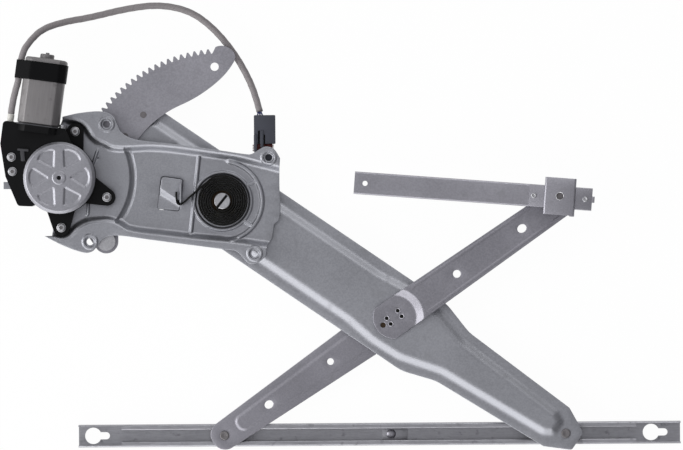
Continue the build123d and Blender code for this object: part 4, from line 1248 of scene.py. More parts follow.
@dataclass
class Assembly:
    """A sub-assembly: its finishes, the body that it rides on, and its pieces."""

    finishes: Finishes
    body: ClassVar[str] = "plate_and_motor"

    def finish(self, piece: Solid, name: str, smooth: float = SMOOTH) -> Solid:
        """Clean a finished mesh and give it the finish of a name."""
        return finished(piece, self.finishes[name], smooth)

    def pieces(self) -> Pieces:
        """Each piece with its slot and the node that it stands for, if any."""
        raise NotImplementedError

    def build(self) -> List[Solid]:
        """Make the pieces and let them ride."""
        return [shown(piece, self.body, slot, *nodes) for piece, slot, *nodes in self.pieces()]


@dataclass
class MountingPlate(Assembly):
    """The deep-drawn plate: flange, walls, motor pad, beads, spring ring and bolt dimples."""

    upper_wall: Route = (
        (-190.0, 90.5), (-167.0, 86.5), (-161.8, 85.8), (-152.8, 84.1), (-146.7, 81.5), (-142.0, 76.6),
        (-137.8, 69.3), (-131.9, 63.8), (-122.9, 59.6), (-113.9, 55.6), (-96.2, 55.0), (-75.7, 55.8),
        (-50.7, 53.9), (-16.6, 49.0), (17.5, 43.7), (40.3, 37.8), (60.0, 32.6), (76.0, 28.6))
    lower_wall: Route = (
        (-200.0, -34.0), (-178.8, -35.3), (-165.1, -36.4), (-151.4, -25.0), (-142.2, -20.1), (-131.0, -18.4),
        (-119.4, -18.1), (-108.1, -21.5), (-96.8, -27.8), (-62.7, -32.6), (-28.6, -36.8), (11.3, -41.0),
        (46.9, -45.9), (66.0, -48.6))
    upper_edge: Route = (
        (60.9, 44.3), (56.4, 52.1), (52.7, 55.4), (45.3, 56.8), (39.9, 54.3), (33.1, 50.0), (28.5, 48.6),
        (-2.9, 53.2), (-50.0, 60.0), (-80.0, 63.5), (-95.0, 66.5), (-105.5, 73.0), (-109.5, 81.2),
        (-113.5, 89.5), (-124.4, 94.6), (-147.9, 93.4), (-167.0, 89.4))
    lower_edge: Route = (
        (45.6, -57.9), (37.2, -64.8), (28.2, -66.0), (22.5, -61.1), (14.5, -53.0), (0.9, -50.7),
        (-51.3, -43.6), (-75.9, -40.2), (-113.9, -35.3), (-124.2, -38.5), (-131.1, -46.4), (-136.8, -52.1),
        (-144.7, -53.4), (-165.2, -46.5), (-186.7, -35.6))
    right_edge: Route = (
        (46.9, -45.9), (51.7, -39.6), (54.6, -24.8), (59.2, -20.4), (60.9, -4.0), (60.0, 12.0), (60.0, 32.6))
    left_edge: Route = (
        (-167.0, 86.5), (-172.2, 76.8), (-180.0, 71.0), (-193.0, 50.0), (-198.0, 25.0), (-193.0, 2.0),
        (-178.0, -14.0), (-178.8, -35.3))
    window: Route = ((-64.0, 26.6), (-40.9, 23.3), (-44.8, -10.4), (-68.6, -8.4))
    tab: Route = (
        (-63.3, 25.9), (-41.6, 22.8), (-45.3, -9.8), (-70.4, -7.8), (-68.6, 5.0), (-66.4, 6.5))
    fold: Tuple[Place, Place] = ((-66.9, 8.2), (-44.8, -6.6))
    tongue_end: Route = ((-44.8, -1.5), (-43.0, -1.5), (-42.6, 18.5), (-44.4, 18.5))
    tongue_levels: Place = (29.6, 38.8)
    holes: Route = ((-120.7, 81.2), (-138.9, -41.8), (48.9, 45.2), (33.6, -55.3))
    pilot: Place = (-130.2, 45.9)
    knobs: Tuple[Route, ...] = (
        ((-131.2, 52.5), (-133.3, 46.2), (-135.5, 39.9)), ((-140.7, -1.0), (-141.0, -7.0), (-141.4, -13.1)))
    screws: Route = SCREW_PLACES
    hole_radius: float = 3.6
    screw_radius: float = 3.0
    bush_radius: float = 10.3
    collar_radius: float = 19.0
    pad_radius: float = 75.6
    groove_radius: float = 77.8
    ring_radius: float = 30.1
    outer_ring: float = 41.6

    def web(self) -> Loop:
        """The region between the two walls, run on past both ends."""
        return through(self.upper_wall) + through(self.lower_wall)[::-1]

    def outline(self) -> Loop:
        """The blank's outer edge."""
        edge = through(self.upper_edge) + through(self.left_edge) + through(self.lower_edge)[::-1]
        return resampled(edge + through(self.right_edge), 2.5)

    def pad(self) -> Loop:
        """The motor's pad: an arc across the web, and the tops of both walls beyond it.

        Returns:
            The places, in millimetres.
        """
        near = [p for p in shifted(self.web(), -3.0) if math.dist(p, PINION) < self.pad_radius]
        turn = next(k for k in range(1, len(near)) if near[k][1] < near[k - 1][1] - 20.0)
        ends = [math.degrees(math.atan2(y - PINION[1], x - PINION[0])) for x, y in near[turn - 1:turn + 1]]
        return near[:turn] + [polar(self.pad_radius, a, PINION) for a in np.linspace(*ends, 60)] + near[turn:]

    def ribs(self) -> Merged:
        """The ring round the spring, the part ring outside it, their spokes and the long rib.

        Returns:
            The merged ridges.
        """
        around = [polar(self.outer_ring, angle) for angle in np.linspace(-77.0, 80.0, 44)]
        return Merged([
            Bead(circle((0, 0), self.ring_radius, 90), 2.8, 1.5, True),
            Bead(around, 3.2, 1.9),
            Bead([polar(31.0, 31.5), polar(41.0, 30.5)], 2.7, 1.7),
            Bead([polar(31.0, -43.0), polar(41.0, -40.5)], 2.7, 1.7),
            Bead(resampled([(-24.4, 46.6), (-33.6, -35.5)], 3.0)[: 28], 2.6, 1.9),
        ])

    def features(self) -> List[Feature]:
        """Everything that is pressed into the blank.

        Returns:
            The features.
        """
        rise = PLATE_FLANGE - PLATE_WEB
        pressed: List[Feature] = [
            Step(self.web(), -rise, -2.6, 2.4, 0.42),
            Step(self.pad(), PLATE_PAD - PLATE_WEB, 0.3, 3.2, 0.2),
            Bead([polar(self.groove_radius, angle, PINION) for angle in np.linspace(-33.0, 21.5, 44)],
                 2.6, -1.0, False, 0.1),
            self.ribs(),
        ]
        pressed += [Bead(list(knob), 1.9, 1.9, False, 0.25) for knob in self.knobs]
        for hole in self.holes:
            pressed.append(Bead(circle(hole, 6.9, 44), 2.1, 1.2, True, 0.25))
            pressed.append(Step(circle(hole, 5.6, 40), -0.7, 0.0, 1.0, 0.3))
        return pressed

    def tongue(self) -> Solid:
        """The spring's upright tongue at the end of the window's tab."""
        return bevelled(prism("tongue", rounded(self.tongue_end, [0.5] * 4), *self.tongue_levels), 0.4)

    def pieces(self) -> Pieces:
        """The plate, with the tab in its window and the spring's tongue.

        Returns:
            Each piece with its slot and its node.
        """
        rims = [circle(hole, self.hole_radius, 32) for hole in self.holes]
        rims += [circle(screw, self.screw_radius, 24) for screw in self.screws]
        rims.append(circle(self.pilot, 0.8, 12))
        rims += [circle((0, 0), self.bush_radius, 48), circle(PINION, self.collar_radius, 64)]
        rims.append(resampled(rounded(self.window, [3.0] * 4, 15.0), 2.5))
        sheet = PressedSheet(
            "mounting_plate_skin", self.outline(), rims, self.features(), PLATE_FLANGE, PLATE_T)
        tab = PressedSheet(
            "tab", resampled(rounded(self.tab, [2.5, 2.5, 2.5, 1.0, 1.0, 1.0], 15.0), 2.0), [],
            [Fold(*self.fold, 0.72, 4.3)], PLATE_WEB - 0.7, PLATE_T, 5.0)
        plate = joined("mounting_plate_skin", [sheet.build(), tab.build(), self.tongue()])
        return ((self.finish(plate, "zinc_sheet", SHEET_SMOOTH), "galvanised_steel", "mounting_plate"),)


@dataclass
class LiftArm(Assembly):
    """The wide pressed arm from the sector to the far shoe, with the stud riveted in its end."""

    body: ClassVar[str] = "lift"
    half: float = 42.5
    tail: float = 132.0
    wide_end: float = 256.0
    neck: float = 292.0
    end: float = 451.0
    level: float = 20.3
    rise: float = 4.5
    thickness: float = 2.5
    slope: Spot = (-0.2, 6.9, 0.34)
    pivot_bore: float = 8.4
    crossing_bore: float = 11.7
    stud_bore: float = 4.0
    rivet_bore: float = 3.4
    rivet_reach: float = 123.0
    rivet_angles: Spot = (132.2, 146.0, 159.0)

    def outline(self) -> Loop:
        """The arm's edge, along and across the arm.

        Returns:
            The places, in millimetres.
        """
        upper = [(-self.tail, self.half), (self.wide_end, self.half), (self.neck, 31.0),
                 (self.end - 27.0, 24.5), (self.end, 11.0)]
        radii = [28.0, 40.0, 40.0, 5.0, 4.0]
        return mirrored(upper, radii, 6.0)

    def foot(self) -> Loop:
        """The foot of the raised web's slope.

        Returns:
            The places, in millimetres.
        """
        wide = self.half - 10.8
        upper = [(-self.tail + 12, wide), (178.0, wide), (212.0, wide + 4), (246.0, wide + 3),
                 (self.neck, 22.0), (416.0, 15.0), (428.0, 8.5)]
        radii = [20.0, 40.0, 40.0, 40.0, 40.0, 12.0, 8.0]
        return mirrored(upper, radii, 6.0)

    def pieces(self) -> Pieces:
        """The arm and its stud.

        Returns:
            Each piece with its slot and its node.
        """
        turn = -REST_ANGLE
        pin = polar(2 * HALF_ARM, turn)
        rims = [circle((0, 0), self.pivot_bore, 40), circle(polar(HALF_ARM, turn), self.crossing_bore, 48),
                circle(pin, self.stud_bore, 28)]
        rims += [circle(polar(self.rivet_reach, angle), self.rivet_bore, 24) for angle in self.rivet_angles]
        edge = turned(resampled(self.outline(), 3.5), turn)
        foot = turned(resampled(self.foot(), 3.0), turn)
        sheet = PressedSheet("lift_arm_skin", edge, rims, [Step(foot, self.rise, *self.slope)], self.level,
                             self.thickness, 20.0)
        arm = self.finish(sheet.build(), "zinc_sheet", SHEET_SMOOTH)
        stud = cupped_stud("lift_arm_stud_skin", pin, (2.0, 17.8, self.level), 1.8, self.finishes)
        return (arm, "galvanised_steel", "lift_arm"), (stud, "bright_steel", "lift_arm_stud")


def cupped_stud(name: str, centre: Place, levels: Spot, head: float, finishes: Finishes) -> Solid:
    """A stud riveted in an arm: shank, collar and a head with a cupped middle.

    Args:
        name: The piece's name.
        centre: The stud's place.
        levels: Its lower end, and the lower and upper faces of the arm.
        head: The head's height.
        finishes: The finishes.

    Returns:
        The stud.
    """
    bottom, arm, top = levels
    crown = top + head
    profile = [(0.0, crown - 0.35), (2.2, crown - 0.3), (3.2, crown - 0.05), (3.9, crown), (4.6, crown - 0.3),
               (4.9, crown - 0.8), (4.9, top), (4.0, top), (4.0, arm), (5.6, arm), (5.6, arm - 0.4),
               (4.0, arm - 0.4), (4.0, bottom + 0.5), (3.5, bottom), (0.0, bottom)]
    return finished(lathe(name, profile, upright(*centre)), finishes["dull_steel"])


@dataclass
class Equaliser(Assembly):
    """The two arms that cross the lift arm: one before it with a stepped disc, one behind it."""

    body: ClassVar[str] = "equaliser"
    disc: float = 22.5
    disc_top: float = 27.3
    body_top: float = 32.3
    back_top: float = 14.8
    pegs: Route = ((7.0, 3.6), (7.0, -3.6), (-7.0, 3.6), (-7.0, -3.6))

    def arm_edge(self, near: float, far: float, tip: float, cut_off: float) -> Loop:
        """An arm along +X from its disc to its rounded end.

        Args:
            near: Half its width at the disc.
            far: Half its width at the end.
            tip: The radius of the end.
            cut_off: Half the width that the disc is cut down to.

        Returns:
            The outline.
        """
        end = HALF_ARM + tip
        wide = min(cut_off, self.disc - 0.1)
        start = math.degrees(math.asin(wide / self.disc))
        first = 180.0 - start if cut_off < self.disc else start
        arc = [polar(self.disc, angle) for angle in np.linspace(first, 360 - first, 48)]
        meet = arc[0][0] if cut_off < self.disc else math.sqrt(self.disc**2 - near**2) + 1.5
        corner = tip - 0.05
        corners = [(1.0, -near), (end, -far), (end, far), (1.0, near)]
        far_end = rounded(corners, [0.1, corner, corner, 0.1], 7.0)
        if cut_off < self.disc:
            return arc + [p for p in far_end if p[0] > 0.5]
        arc = [p for p in arc if abs(p[1]) > near - 0.6 or p[0] < 0.0]
        return arc + [p for p in far_end if p[0] > meet]

    def panel(self, start: float, stop: float, near: float, far: float, corner: float) -> Loop:
        """The foot of the raised panel."""
        corners = [(start, near), (stop, far), (stop, -far), (start, -near)]
        return resampled(rounded(corners, [corner] * 4), 3.0)

    def front(self) -> Solid:
        """The arm on the motor side, with its step round the disc and a ridge along each edge.

        Returns:
            The piece.
        """
        edge = resampled(self.arm_edge(19.5, 15.8, 15.0, 19.5), 3.0)
        lift = self.body_top - self.disc_top
        steps: List[Feature] = [
            Step(circle((0, 0), 30.8, 120), -lift, 0.0, 7.8, 0.12),
        ]
        for way in (-1.0, 1.0):
            ridge = resampled([(37.0, way * 15.2), (HALF_ARM + 10.0, way * 12.2)], 3.0)
            steps.append(Bead(ridge[: len(ridge) // 2 + 1], 2.0, 0.45))
        rims = [circle((-14.3, 0), 2.8, 24), circle((79.9, 0), 4.1, 28), oval((163.1, 0), 5.0, 4.3),
                circle((HALF_ARM, 0), 4.0, 28)]
        rims += [circle(p, 2.22, 20) for p in self.pegs]
        return self.placed("equaliser_upper_skin", edge, rims, steps, self.body_top, 0.0)

    def back(self) -> Solid:
        """The arm behind the lift arm.

        Returns:
            The piece.
        """
        edge = resampled(self.arm_edge(20.0, 14.9, 13.9, 30.0), 3.0)
        steps: List[Feature] = [Step(self.panel(34.0, HALF_ARM - 16, 14.0, 8.9, 8.0), 1.2, 0.0, 2.6, 0.3)]
        rims = [circle((81.9, 0), 3.5, 28), oval((160.9, 0), 4.8, 4.2),
                circle((HALF_ARM, 0), 4.0, 28), circle((0, 0), 8.0, 36)]
        return self.placed("equaliser_lower_skin", edge, rims, steps, self.back_top, 180.0)

    def frame(self, turn: float = 0.0) -> Matrix:
        """The frame at the crossing, along the front arm or turned from it."""
        cross = polar(HALF_ARM, -REST_ANGLE)
        return upright(*cross) @ Matrix.Rotation(math.radians(REST_ANGLE + turn), 4, "Z")

    def placed(self, name: str, edge: Loop, rims: List[Loop], steps: List[Feature], top: float,
               turn: float) -> Solid:
        """Build one arm in its own frame and put it at the crossing.

        Args:
            name: The piece's name.
            edge: The outline along +X.
            rims: The holes.
            steps: What is pressed.
            top: The level of its upper face.
            turn: The arm's turn in degrees, over that of the crossing.

        Returns:
            The arm.
        """
        arm = PressedSheet(name, edge, rims, steps, top, 2.2, 16.0).build(self.frame(turn))
        return self.finish(arm, "zinc_arm", SHEET_SMOOTH)

    def hub(self) -> Solid:
        """The hub that joins both arms, with four hollow pegs closed over the front arm; the black floors in
        the pegs and the dark disc in the arm's small hole are painted shade.

        Returns:
            The piece.
        """
        body = lathe("hub", [(0.0, 25.1), (11.6, 25.1), (11.6, 14.8), (8.0, 14.8), (8.0, 12.6), (0.0, 12.6)],
                     self.frame(), 64)
        parts = [self.finish(body, "zinc_pale")]
        top = self.disc_top
        for x, y in self.pegs:
            where = self.frame() @ Matrix.Translation((x * MM, y * MM, 0.0))
            ring = [(0.0, 25.1), (2.2, 25.1), (2.2, top), (3.1, top + 0.05), (2.9, top + 0.45),
                    (2.5, top + 0.6), (1.95, top + 0.3), (1.9, 25.6), (0.0, 25.6)]
            parts.append(self.finish(lathe("peg", ring, where, 24), "zinc_pale"))
            # A black floor inside each hollow peg, as painted shade in its hollow
            floor = prism("floor", circle((0, 0), 1.95, 16), 25.5, top + 0.15, where)
            parts.append(self.finish(floor, "black_steel"))
        # A dark disc under the front arm's small hole, as painted shade in the hole
        hole_shade = prism("hole_shade", circle((-14.3, 0.0), 2.7, 20), 25.2, top - 0.9, self.frame())
        parts.append(self.finish(hole_shade, "gap_shade_bush"))
        return joined("equaliser_hub_skin", parts)

    def pieces(self) -> Pieces:
        """Both arms, the hub and the back arm's stud.

        Returns:
            Each piece with its slot and its node.
        """
        pin = (0.0, 2 * polar(HALF_ARM, -REST_ANGLE)[1])
        stud = cupped_stud("lower_arm_stud_skin", pin, (2.0, 12.6, self.back_top), 1.4, self.finishes)
        return ((self.front(), "galvanised_steel", "equaliser_upper_arm"),
                (self.back(), "galvanised_steel", "equaliser_lower_arm"),
                (self.hub(), "bright_steel", "equaliser_hub"), (stud, "bright_steel", "lower_arm_stud"))


@dataclass
class GearCover(Assembly):
    """The round pressed cover over the worm wheel, with six pockets between its ribs."""

    radius: float = 37.7
    crown: float = 58.1
    pocket_corners: Route = (
        (9.6, 0.0), (29.8, -22.6), (31.9, -11.0), (32.4, 0.0), (31.9, 11.0), (29.8, 22.6))

    def pocket(self, angle: float) -> Loop:
        """The outline of one pocket, narrow at the middle and round at the rim."""
        corners = [polar(radius, angle + aside) for radius, aside in self.pocket_corners]
        loop = resampled(rounded(corners, [2.2, 2.6, 6.0, 6.0, 6.0, 2.6], 14.0), 1.3)
        return [(x + PINION[0], y + PINION[1]) for x, y in loop]

    def pieces(self) -> Pieces:
        """The cover, with the black plug in its middle.

        Returns:
            Each piece with its slot and its node.
        """
        steps: List[Feature] = [Step(circle(PINION, self.radius, 120), 2.5, 0.3, 2.8, 0.3)]
        steps += [Step(self.pocket(60.0 * k), -1.3, 0.0, 1.8, 0.35) for k in range(6)]
        steps.append(Step(circle(PINION, 7.4, 40), 0.6, 0.0, 1.1, 0.3))
        sheet = PressedSheet(
            "gear_cover_skin", circle(PINION, self.radius, 120), [circle(PINION, 2.2, 24)], steps,
            self.crown - 2.5, 1.5, 5.0, 0.7)
        cover = self.finish(sheet.build(), "cover_sheet", SHEET_SMOOTH)
        plug = prism("plug", circle(PINION, 2.4, 24), self.crown - 2.0, self.crown - 0.6)
        cover = joined("gear_cover_skin", [cover, self.finish(plug, "black_plastic")])
        return ((cover, "galvanised_steel", "gear_cover"),)


@dataclass
class Fasteners(Assembly):
    """The six-lobed screws of the motor: three that mount it and two in its case."""

    mounts: Route = SCREW_PLACES
    sides: Route = ((-219.7, 47.3), (-218.7, 32.2))

    def screw(self, name: str, place: Place, radius: float, levels: Spot,
              shank: float) -> Solid:
        """One pan-headed screw whose six-lobed recess has a darker finish, as painted shade.

        Args:
            name: The piece's name.
            place: Its place.
            radius: The head's radius.
            levels: Its lower end, its seat and its top.
            shank: The shank's radius.

        Returns:
            The screw.
        """
        bottom, seat, top = levels
        high = top - seat
        profile = [(0.0, top), (radius * 0.5, top - 0.02 * high), (radius * 0.72, top - 0.12 * high),
                   (radius * 0.84, top - 0.45 * high), (radius * 0.88, seat + 0.3 * high),
                   (radius * 0.97, seat + 0.25 * high), (radius, seat), (shank, seat),
                   (shank, bottom + 0.6), (shank - 0.5, bottom), (0.0, bottom)]
        head = self.finish(lathe(name, profile, upright(*place), 36), "bright_zinc")
        # The recess's darker finish stays in the cut, as painted shade in the recess
        recess = prism("recess", lobed(0.4 * radius), top - 0.9, top + 1.0, upright(*place))
        return cut(head, self.finish(recess, "dull_steel"))

    def set_of(self, name: str, places: Sequence[Place], radius: float, levels: Spot,
               shank: float) -> Solid:
        """One screw and its copies at the other places."""
        first = self.screw(name, places[0], radius, levels, shank)
        return copied(first, [(x - places[0][0], y - places[0][1]) for x, y in places[1:]])

    def pieces(self) -> Pieces:
        """The three mounting screws and the two side screws."""
        mounts = self.set_of("mount_screws_skin", self.mounts, 4.9, (31.3, 40.1, 43.3), 2.6)
        sides = self.set_of("housing_screws_skin", self.sides, 4.7, (45.1, HOUSING_TOP, 56.7), 2.2)
        return (mounts, "bright_steel", "mount_screws"), (sides, "bright_steel", "housing_screws")


@dataclass
class Motor(Assembly):
    """The drawn can with its nose, the rubber band, the ferrule and the lighter edges of the case."""

    cord_beside: float = 26.2
    band: Tuple[float, float] = (98.0, 117.3)

    def section(self, grow: float = 0.0) -> Loop:
        """The can's section across the axis and up: broad flats, slopes and rounded sides."""
        corners = [(15.0, 18.0), (21.8, 10.5), (21.8, -10.5), (15.0, -18.0)]
        loop = rounded(corners + [(-x, y) for x, y in reversed(corners)], [2.6, 8.0, 8.0, 2.6] * 2, 12.0)
        return shifted(loop, grow) if signed_area(loop) < 0 else shifted(loop, -grow)

    def can(self) -> Solid:
        """The hollow can with its closed, rounded end and its bearing nose.

        Returns:
            The piece.
        """
        piece = prism("motor_can_skin", self.section(), CAN_START, CAN_END, Matrix.Identity(4))
        bevelled(piece, 3.2, 4, 60.0)
        opened(piece, lambda face: face.center.z < (CAN_START + 0.05) * MM)
        modified(piece, "SOLIDIFY", thickness=1.8 * MM, offset=-1.0)
        piece.data.transform(motor_place(0.0))
        self.finish(piece, "drawn_can", 40.0)
        end = CAN_END
        profile = [(0.0, end + 6.4), (1.5, end + 6.4), (2.0, end + 5.9), (2.0, end + 4.8), (6.2, end + 4.8),
                   (7.1, end + 4.4), (7.4, end + 3.6), (7.4, end + 0.8), (8.4, end + 0.02), (8.4, end - 0.8),
                   (0.0, end - 0.8)]
        nose = self.finish(lathe("nose", profile, motor_place(0.0), 48), "drawn_can")
        return joined("motor_can_skin", [piece, nose])

    def hose(self, name: str, loop: Loop, stations: Sequence[float], wall: float, finish: str) -> Solid:
        """A closed band round the motor's axis.

        Args:
            name: The band's name.
            loop: Its inner line, in millimetres.
            stations: Places along the axis.
            wall: Its thickness, outwards.
            finish: The name of its finish.

        Returns:
            The band.
        """
        band = folded_bar(name, loop, stations, -wall, True)
        bevelled(band, 0.4, 2, 50.0)
        band.data.transform(X_TO_Z)
        band.data.transform(motor_place(0.0))
        return self.finish(band, finish, 40.0)

    def tie(self) -> Solid:
        """The rubber band, stretched round the can and the harness.

        Returns:
            The piece.
        """
        points = self.section(0.12) + circle((-self.cord_beside, 0.0), 3.8, 32)
        loop = [points[k] for k in convex_hull_2d([Vector(p) for p in points])]
        low, high = self.band
        stations = np.linspace(low, high, 9)
        return self.hose("rubber_band_skin", resampled(loop, 2.0), stations, 1.3, "black_rubber")

    def ferrule(self) -> Solid:
        """The light ferrule at the harness's end.

        Returns:
            The piece.
        """
        profile = [(0.0, -3.8), (3.0, -3.8), (3.6, -3.2), (3.6, 1.2), (3.25, 1.5), (3.25, 2.1), (3.6, 2.4),
                   (3.6, 7.2), (3.1, 7.8), (0.0, 7.8)]
        ferrule = lathe("harness_grommet_skin", profile, motor_place(CAN_START, -29.6), 32)
        return self.finish(ferrule, "white_plastic")

    def rib(self) -> Solid:
        """The lighter rib on the case, like a T, and the case's lighter lip round the can.

        Returns:
            The piece.
        """
        bar = prism("case_edges", rounded([(-213.2, 56.4), (-201.6, 55.4), (-201.6, 52.9), (-213.2, 53.9)],
                                          [0.8] * 4), HOUSING_TOP - 0.6, HOUSING_TOP + 1.6)
        stem = prism("stem", [(-210.6, 54.2), (-206.2, 54.2), (-205.2, 42.8), (-209.6, 42.8)],
                     HOUSING_TOP - 0.6, HOUSING_TOP + 1.5)
        made = [self.finish(bevelled(piece, 0.5), "lighter_case_plastic") for piece in (bar, stem)]
        ends = [CAN_START - 1.3, CAN_START + 0.2]
        made.append(self.hose("lip", resampled(self.section(0.1), 3.0), ends, 1.2, "lighter_case_plastic"))
        return joined("case_edges", made)

    def pieces(self) -> Pieces:
        """The can, the band, the ferrule and the case's edges."""
        return ((self.can(), "can_steel", "motor_can"), (self.tie(), "black_rubber", "rubber_band"),
                (self.ferrule(), "white_plastic", "harness_grommet"), (self.rib(), "black_plastic"))


@dataclass
class Spring(Assembly):
    """The flat counterbalance spring, from the arbor's slot to its hook on the tongue."""

    width: float = 1.85
    levels: Place = (31.8, 39.3)
    radii: Place = (10.4, 26.5)
    start: float = 231.0
    slot_turn: float = 18.0
    sweep: float = 2402.0
    parts: int = 600

    def line(self) -> Loop:
        """The strip's middle line.

        Returns:
            The places, in millimetres.
        """
        (inner, outer), parts = self.radii, self.parts
        first, turn = self.start + self.slot_turn, self.sweep - self.slot_turn
        grow = outer - inner
        coil = [polar(inner + grow * k / parts, first + turn * k / parts) for k in range(parts + 1)]
        root = through([polar(7.4, 51.0), (0.0, 0.0), polar(7.6, 231.0), polar(9.6, 236.0), coil[0]], 1.2)
        tail = through([coil[-1], (-22.5, 14.3), (-34.0, 4.6), (-42.4, -2.6), (-46.6, -2.6), (-48.0, 2.0),
                        (-48.2, 10.0)], 1.2)
        return root[:-1] + coil + tail[1:]

    def pieces(self) -> Pieces:
        """The strip, wound from the slot to its hook.

        Returns:
            Each piece with its slot and its node.
        """
        line = self.line()
        low, high = self.levels
        strip = wire("counterbalance_spring_skin", [(x * MM, y * MM, low * MM) for x, y in line])
        extruded(strip, (0.0, 0.0, (high - low) * MM))
        modified(strip, "SOLIDIFY", thickness=self.width * MM, offset=0.0)
        bevelled(strip, 0.4, 2, 50.0)
        strip.data.transform(HOME)
        return ((self.finish(strip, "black_steel", 50.0), "black_spring_steel", "counterbalance_spring"),)


def channel_line(half: float, web: float, open_side: float, lip: Optional[float], bend: float) -> Loop:
    """The outer line of a channel's section, with rounded bends.

    Args:
        half: Half its height.
        web: The level of its web.
        open_side: The level of its open side.
        lip: Half the opening between its lips, if it has any.
        bend: The bends' outer radius.

    Returns:
        The line, across and up.
    """
    way = 1.0 if open_side > web else -1.0
    turns = [math.radians(angle) for angle in (90.0, 67.5, 45.0, 22.5, 0.0)]

    def corner(radius: float, centre: float, level: float, inward: float, order: Sequence[float]) -> Loop:
        """One rounded bend about a centre, seen from a level."""
        drop = inward * abs(radius)
        return [(centre + radius * math.cos(t), level + drop * (1 - math.sin(t))) for t in order]

    line = [(half, open_side)]
    if lip:
        line = [(lip, open_side - way * 1.4)]
        line += corner(-1.2, lip + 1.2, open_side, -way, turns[::-1])
        line += corner(bend, half - bend, open_side, -way, turns)
    line += corner(bend, half - bend, web, way, turns[::-1])
    return line + [(-y, z) for y, z in reversed(line)]


def lipped(name: str, line: Loop, stations: Sequence[float], lips: Place, bend: float,
           place: Matrix) -> Solid:
    """A channel whose lips start and stop short of its ends, with slanted corners.

    Args:
        name: The piece's name.
        line: Its section.
        stations: Places along X, the lips' limits among them.
        lips: Where the lips start and stop.
        bend: The bends' radius.
        place: Its frame.

    Returns:
        The channel.
    """
    bar = folded_bar(name, line, stations, 1.2)
    inner = (max(y for y, _ in line) - bend) * MM
    web = line[len(line) // 2][1]
    open_side = max((z for _, z in line), key=lambda z: abs(z - web)) * MM

    def cut_back(face: bpy.types.MeshPolygon) -> bool:
        """Whether a face belongs to a lip outside the lips' limits."""
        outside = not lips[0] * MM < face.center.x < lips[1] * MM
        return outside and abs(face.center.y) < inner and abs(face.center.z - open_side) < 2.6 * MM

    opened(bar, cut_back)
    for vertex in bar.data.vertices:
        lip = abs(vertex.co.z - open_side) < 2.8 * MM and abs(vertex.co.y) < inner
        for limit, way in zip(lips, (1.0, -1.0)):
            if lip and abs(vertex.co.x - limit * MM) < 1e-5:
                vertex.co.x += way * 4.5 * MM
    bar.data.transform(place)
    return bar


@dataclass
class Channels(Assembly):
    """The two halves of the glass channel, and their domed rivet."""

    body: ClassVar[str] = "glass_channel"
    half: float = 11.8
    bend: float = 1.8
    joint: float = 184.7

    def keyhole(self, centre: float) -> Solid:
        """The cutter of a round hole with a slot towards +X.

        Args:
            centre: The round hole's place along X.

        Returns:
            The cutter.
        """
        radius, slot, run = 8.7, 3.8, 17.5
        meet = math.degrees(math.asin(slot / radius))
        loop = [polar(radius, angle) for angle in np.linspace(meet, 360 - meet, 40)]
        loop += [polar(slot, angle, (run - slot, 0.0)) for angle in np.linspace(-90, 90, 14)]
        return prism("keyhole", loop, -2.0, 4.0, upright(centre, CHANNEL_Y))

    def part(self, name: str, stations: List[float], lips: Place, hole: float) -> Solid:
        """One half with its keyhole.

        Args:
            name: The half's name.
            stations: Places along X.
            lips: Where its lips start and stop.
            hole: Its keyhole's place along X.

        Returns:
            The half.
        """
        line = channel_line(self.half, 0.0, 12.0, 6.0, self.bend)
        bar = lipped(name, line, stations, lips, self.bend, upright(0.0, CHANNEL_Y))
        self.finish(bar, "channel_sheet")
        return cut(bar, self.finish(self.keyhole(hole), "channel_sheet"))

    def pieces(self) -> Pieces:
        """Both halves and the rivet that joins them.

        Returns:
            Each piece with its slot and its node.
        """
        left = self.part("glass_channel_left_skin", [-154.0, -113.0, 30.0, self.joint],
                         (-113.0, 200.0), -138.8)
        right = self.part("glass_channel_right_skin", [self.joint + 0.2, 300.0, 438.2, 480.8],
                          (180.0, 438.2), 450.1)
        reach = self.half - 1.6
        strap = box("strap", (self.joint - 18.0, self.joint + 8.0), (CHANNEL_Y - reach, CHANNEL_Y + reach),
                    (1.22, 2.4), 0.3, self.finishes["channel_sheet"])
        right = joined("glass_channel_right_skin", [right, strap])
        profile = [(0.0, 4.4), (1.8, 4.3), (3.4, 3.9), (4.5, 3.2), (5.0, 2.4), (3.2, 2.4), (3.2, 0.0),
                   (0.0, 0.0)]
        rivet = lathe("channel_rivet_skin", profile, upright(175.7, CHANNEL_Y), 32)
        return ((left, "galvanised_steel", "glass_channel_left"),
                (right, "galvanised_steel", "glass_channel_right"),
                (self.finish(rivet, "zinc_pale"), "bright_steel", "channel_rivet"))


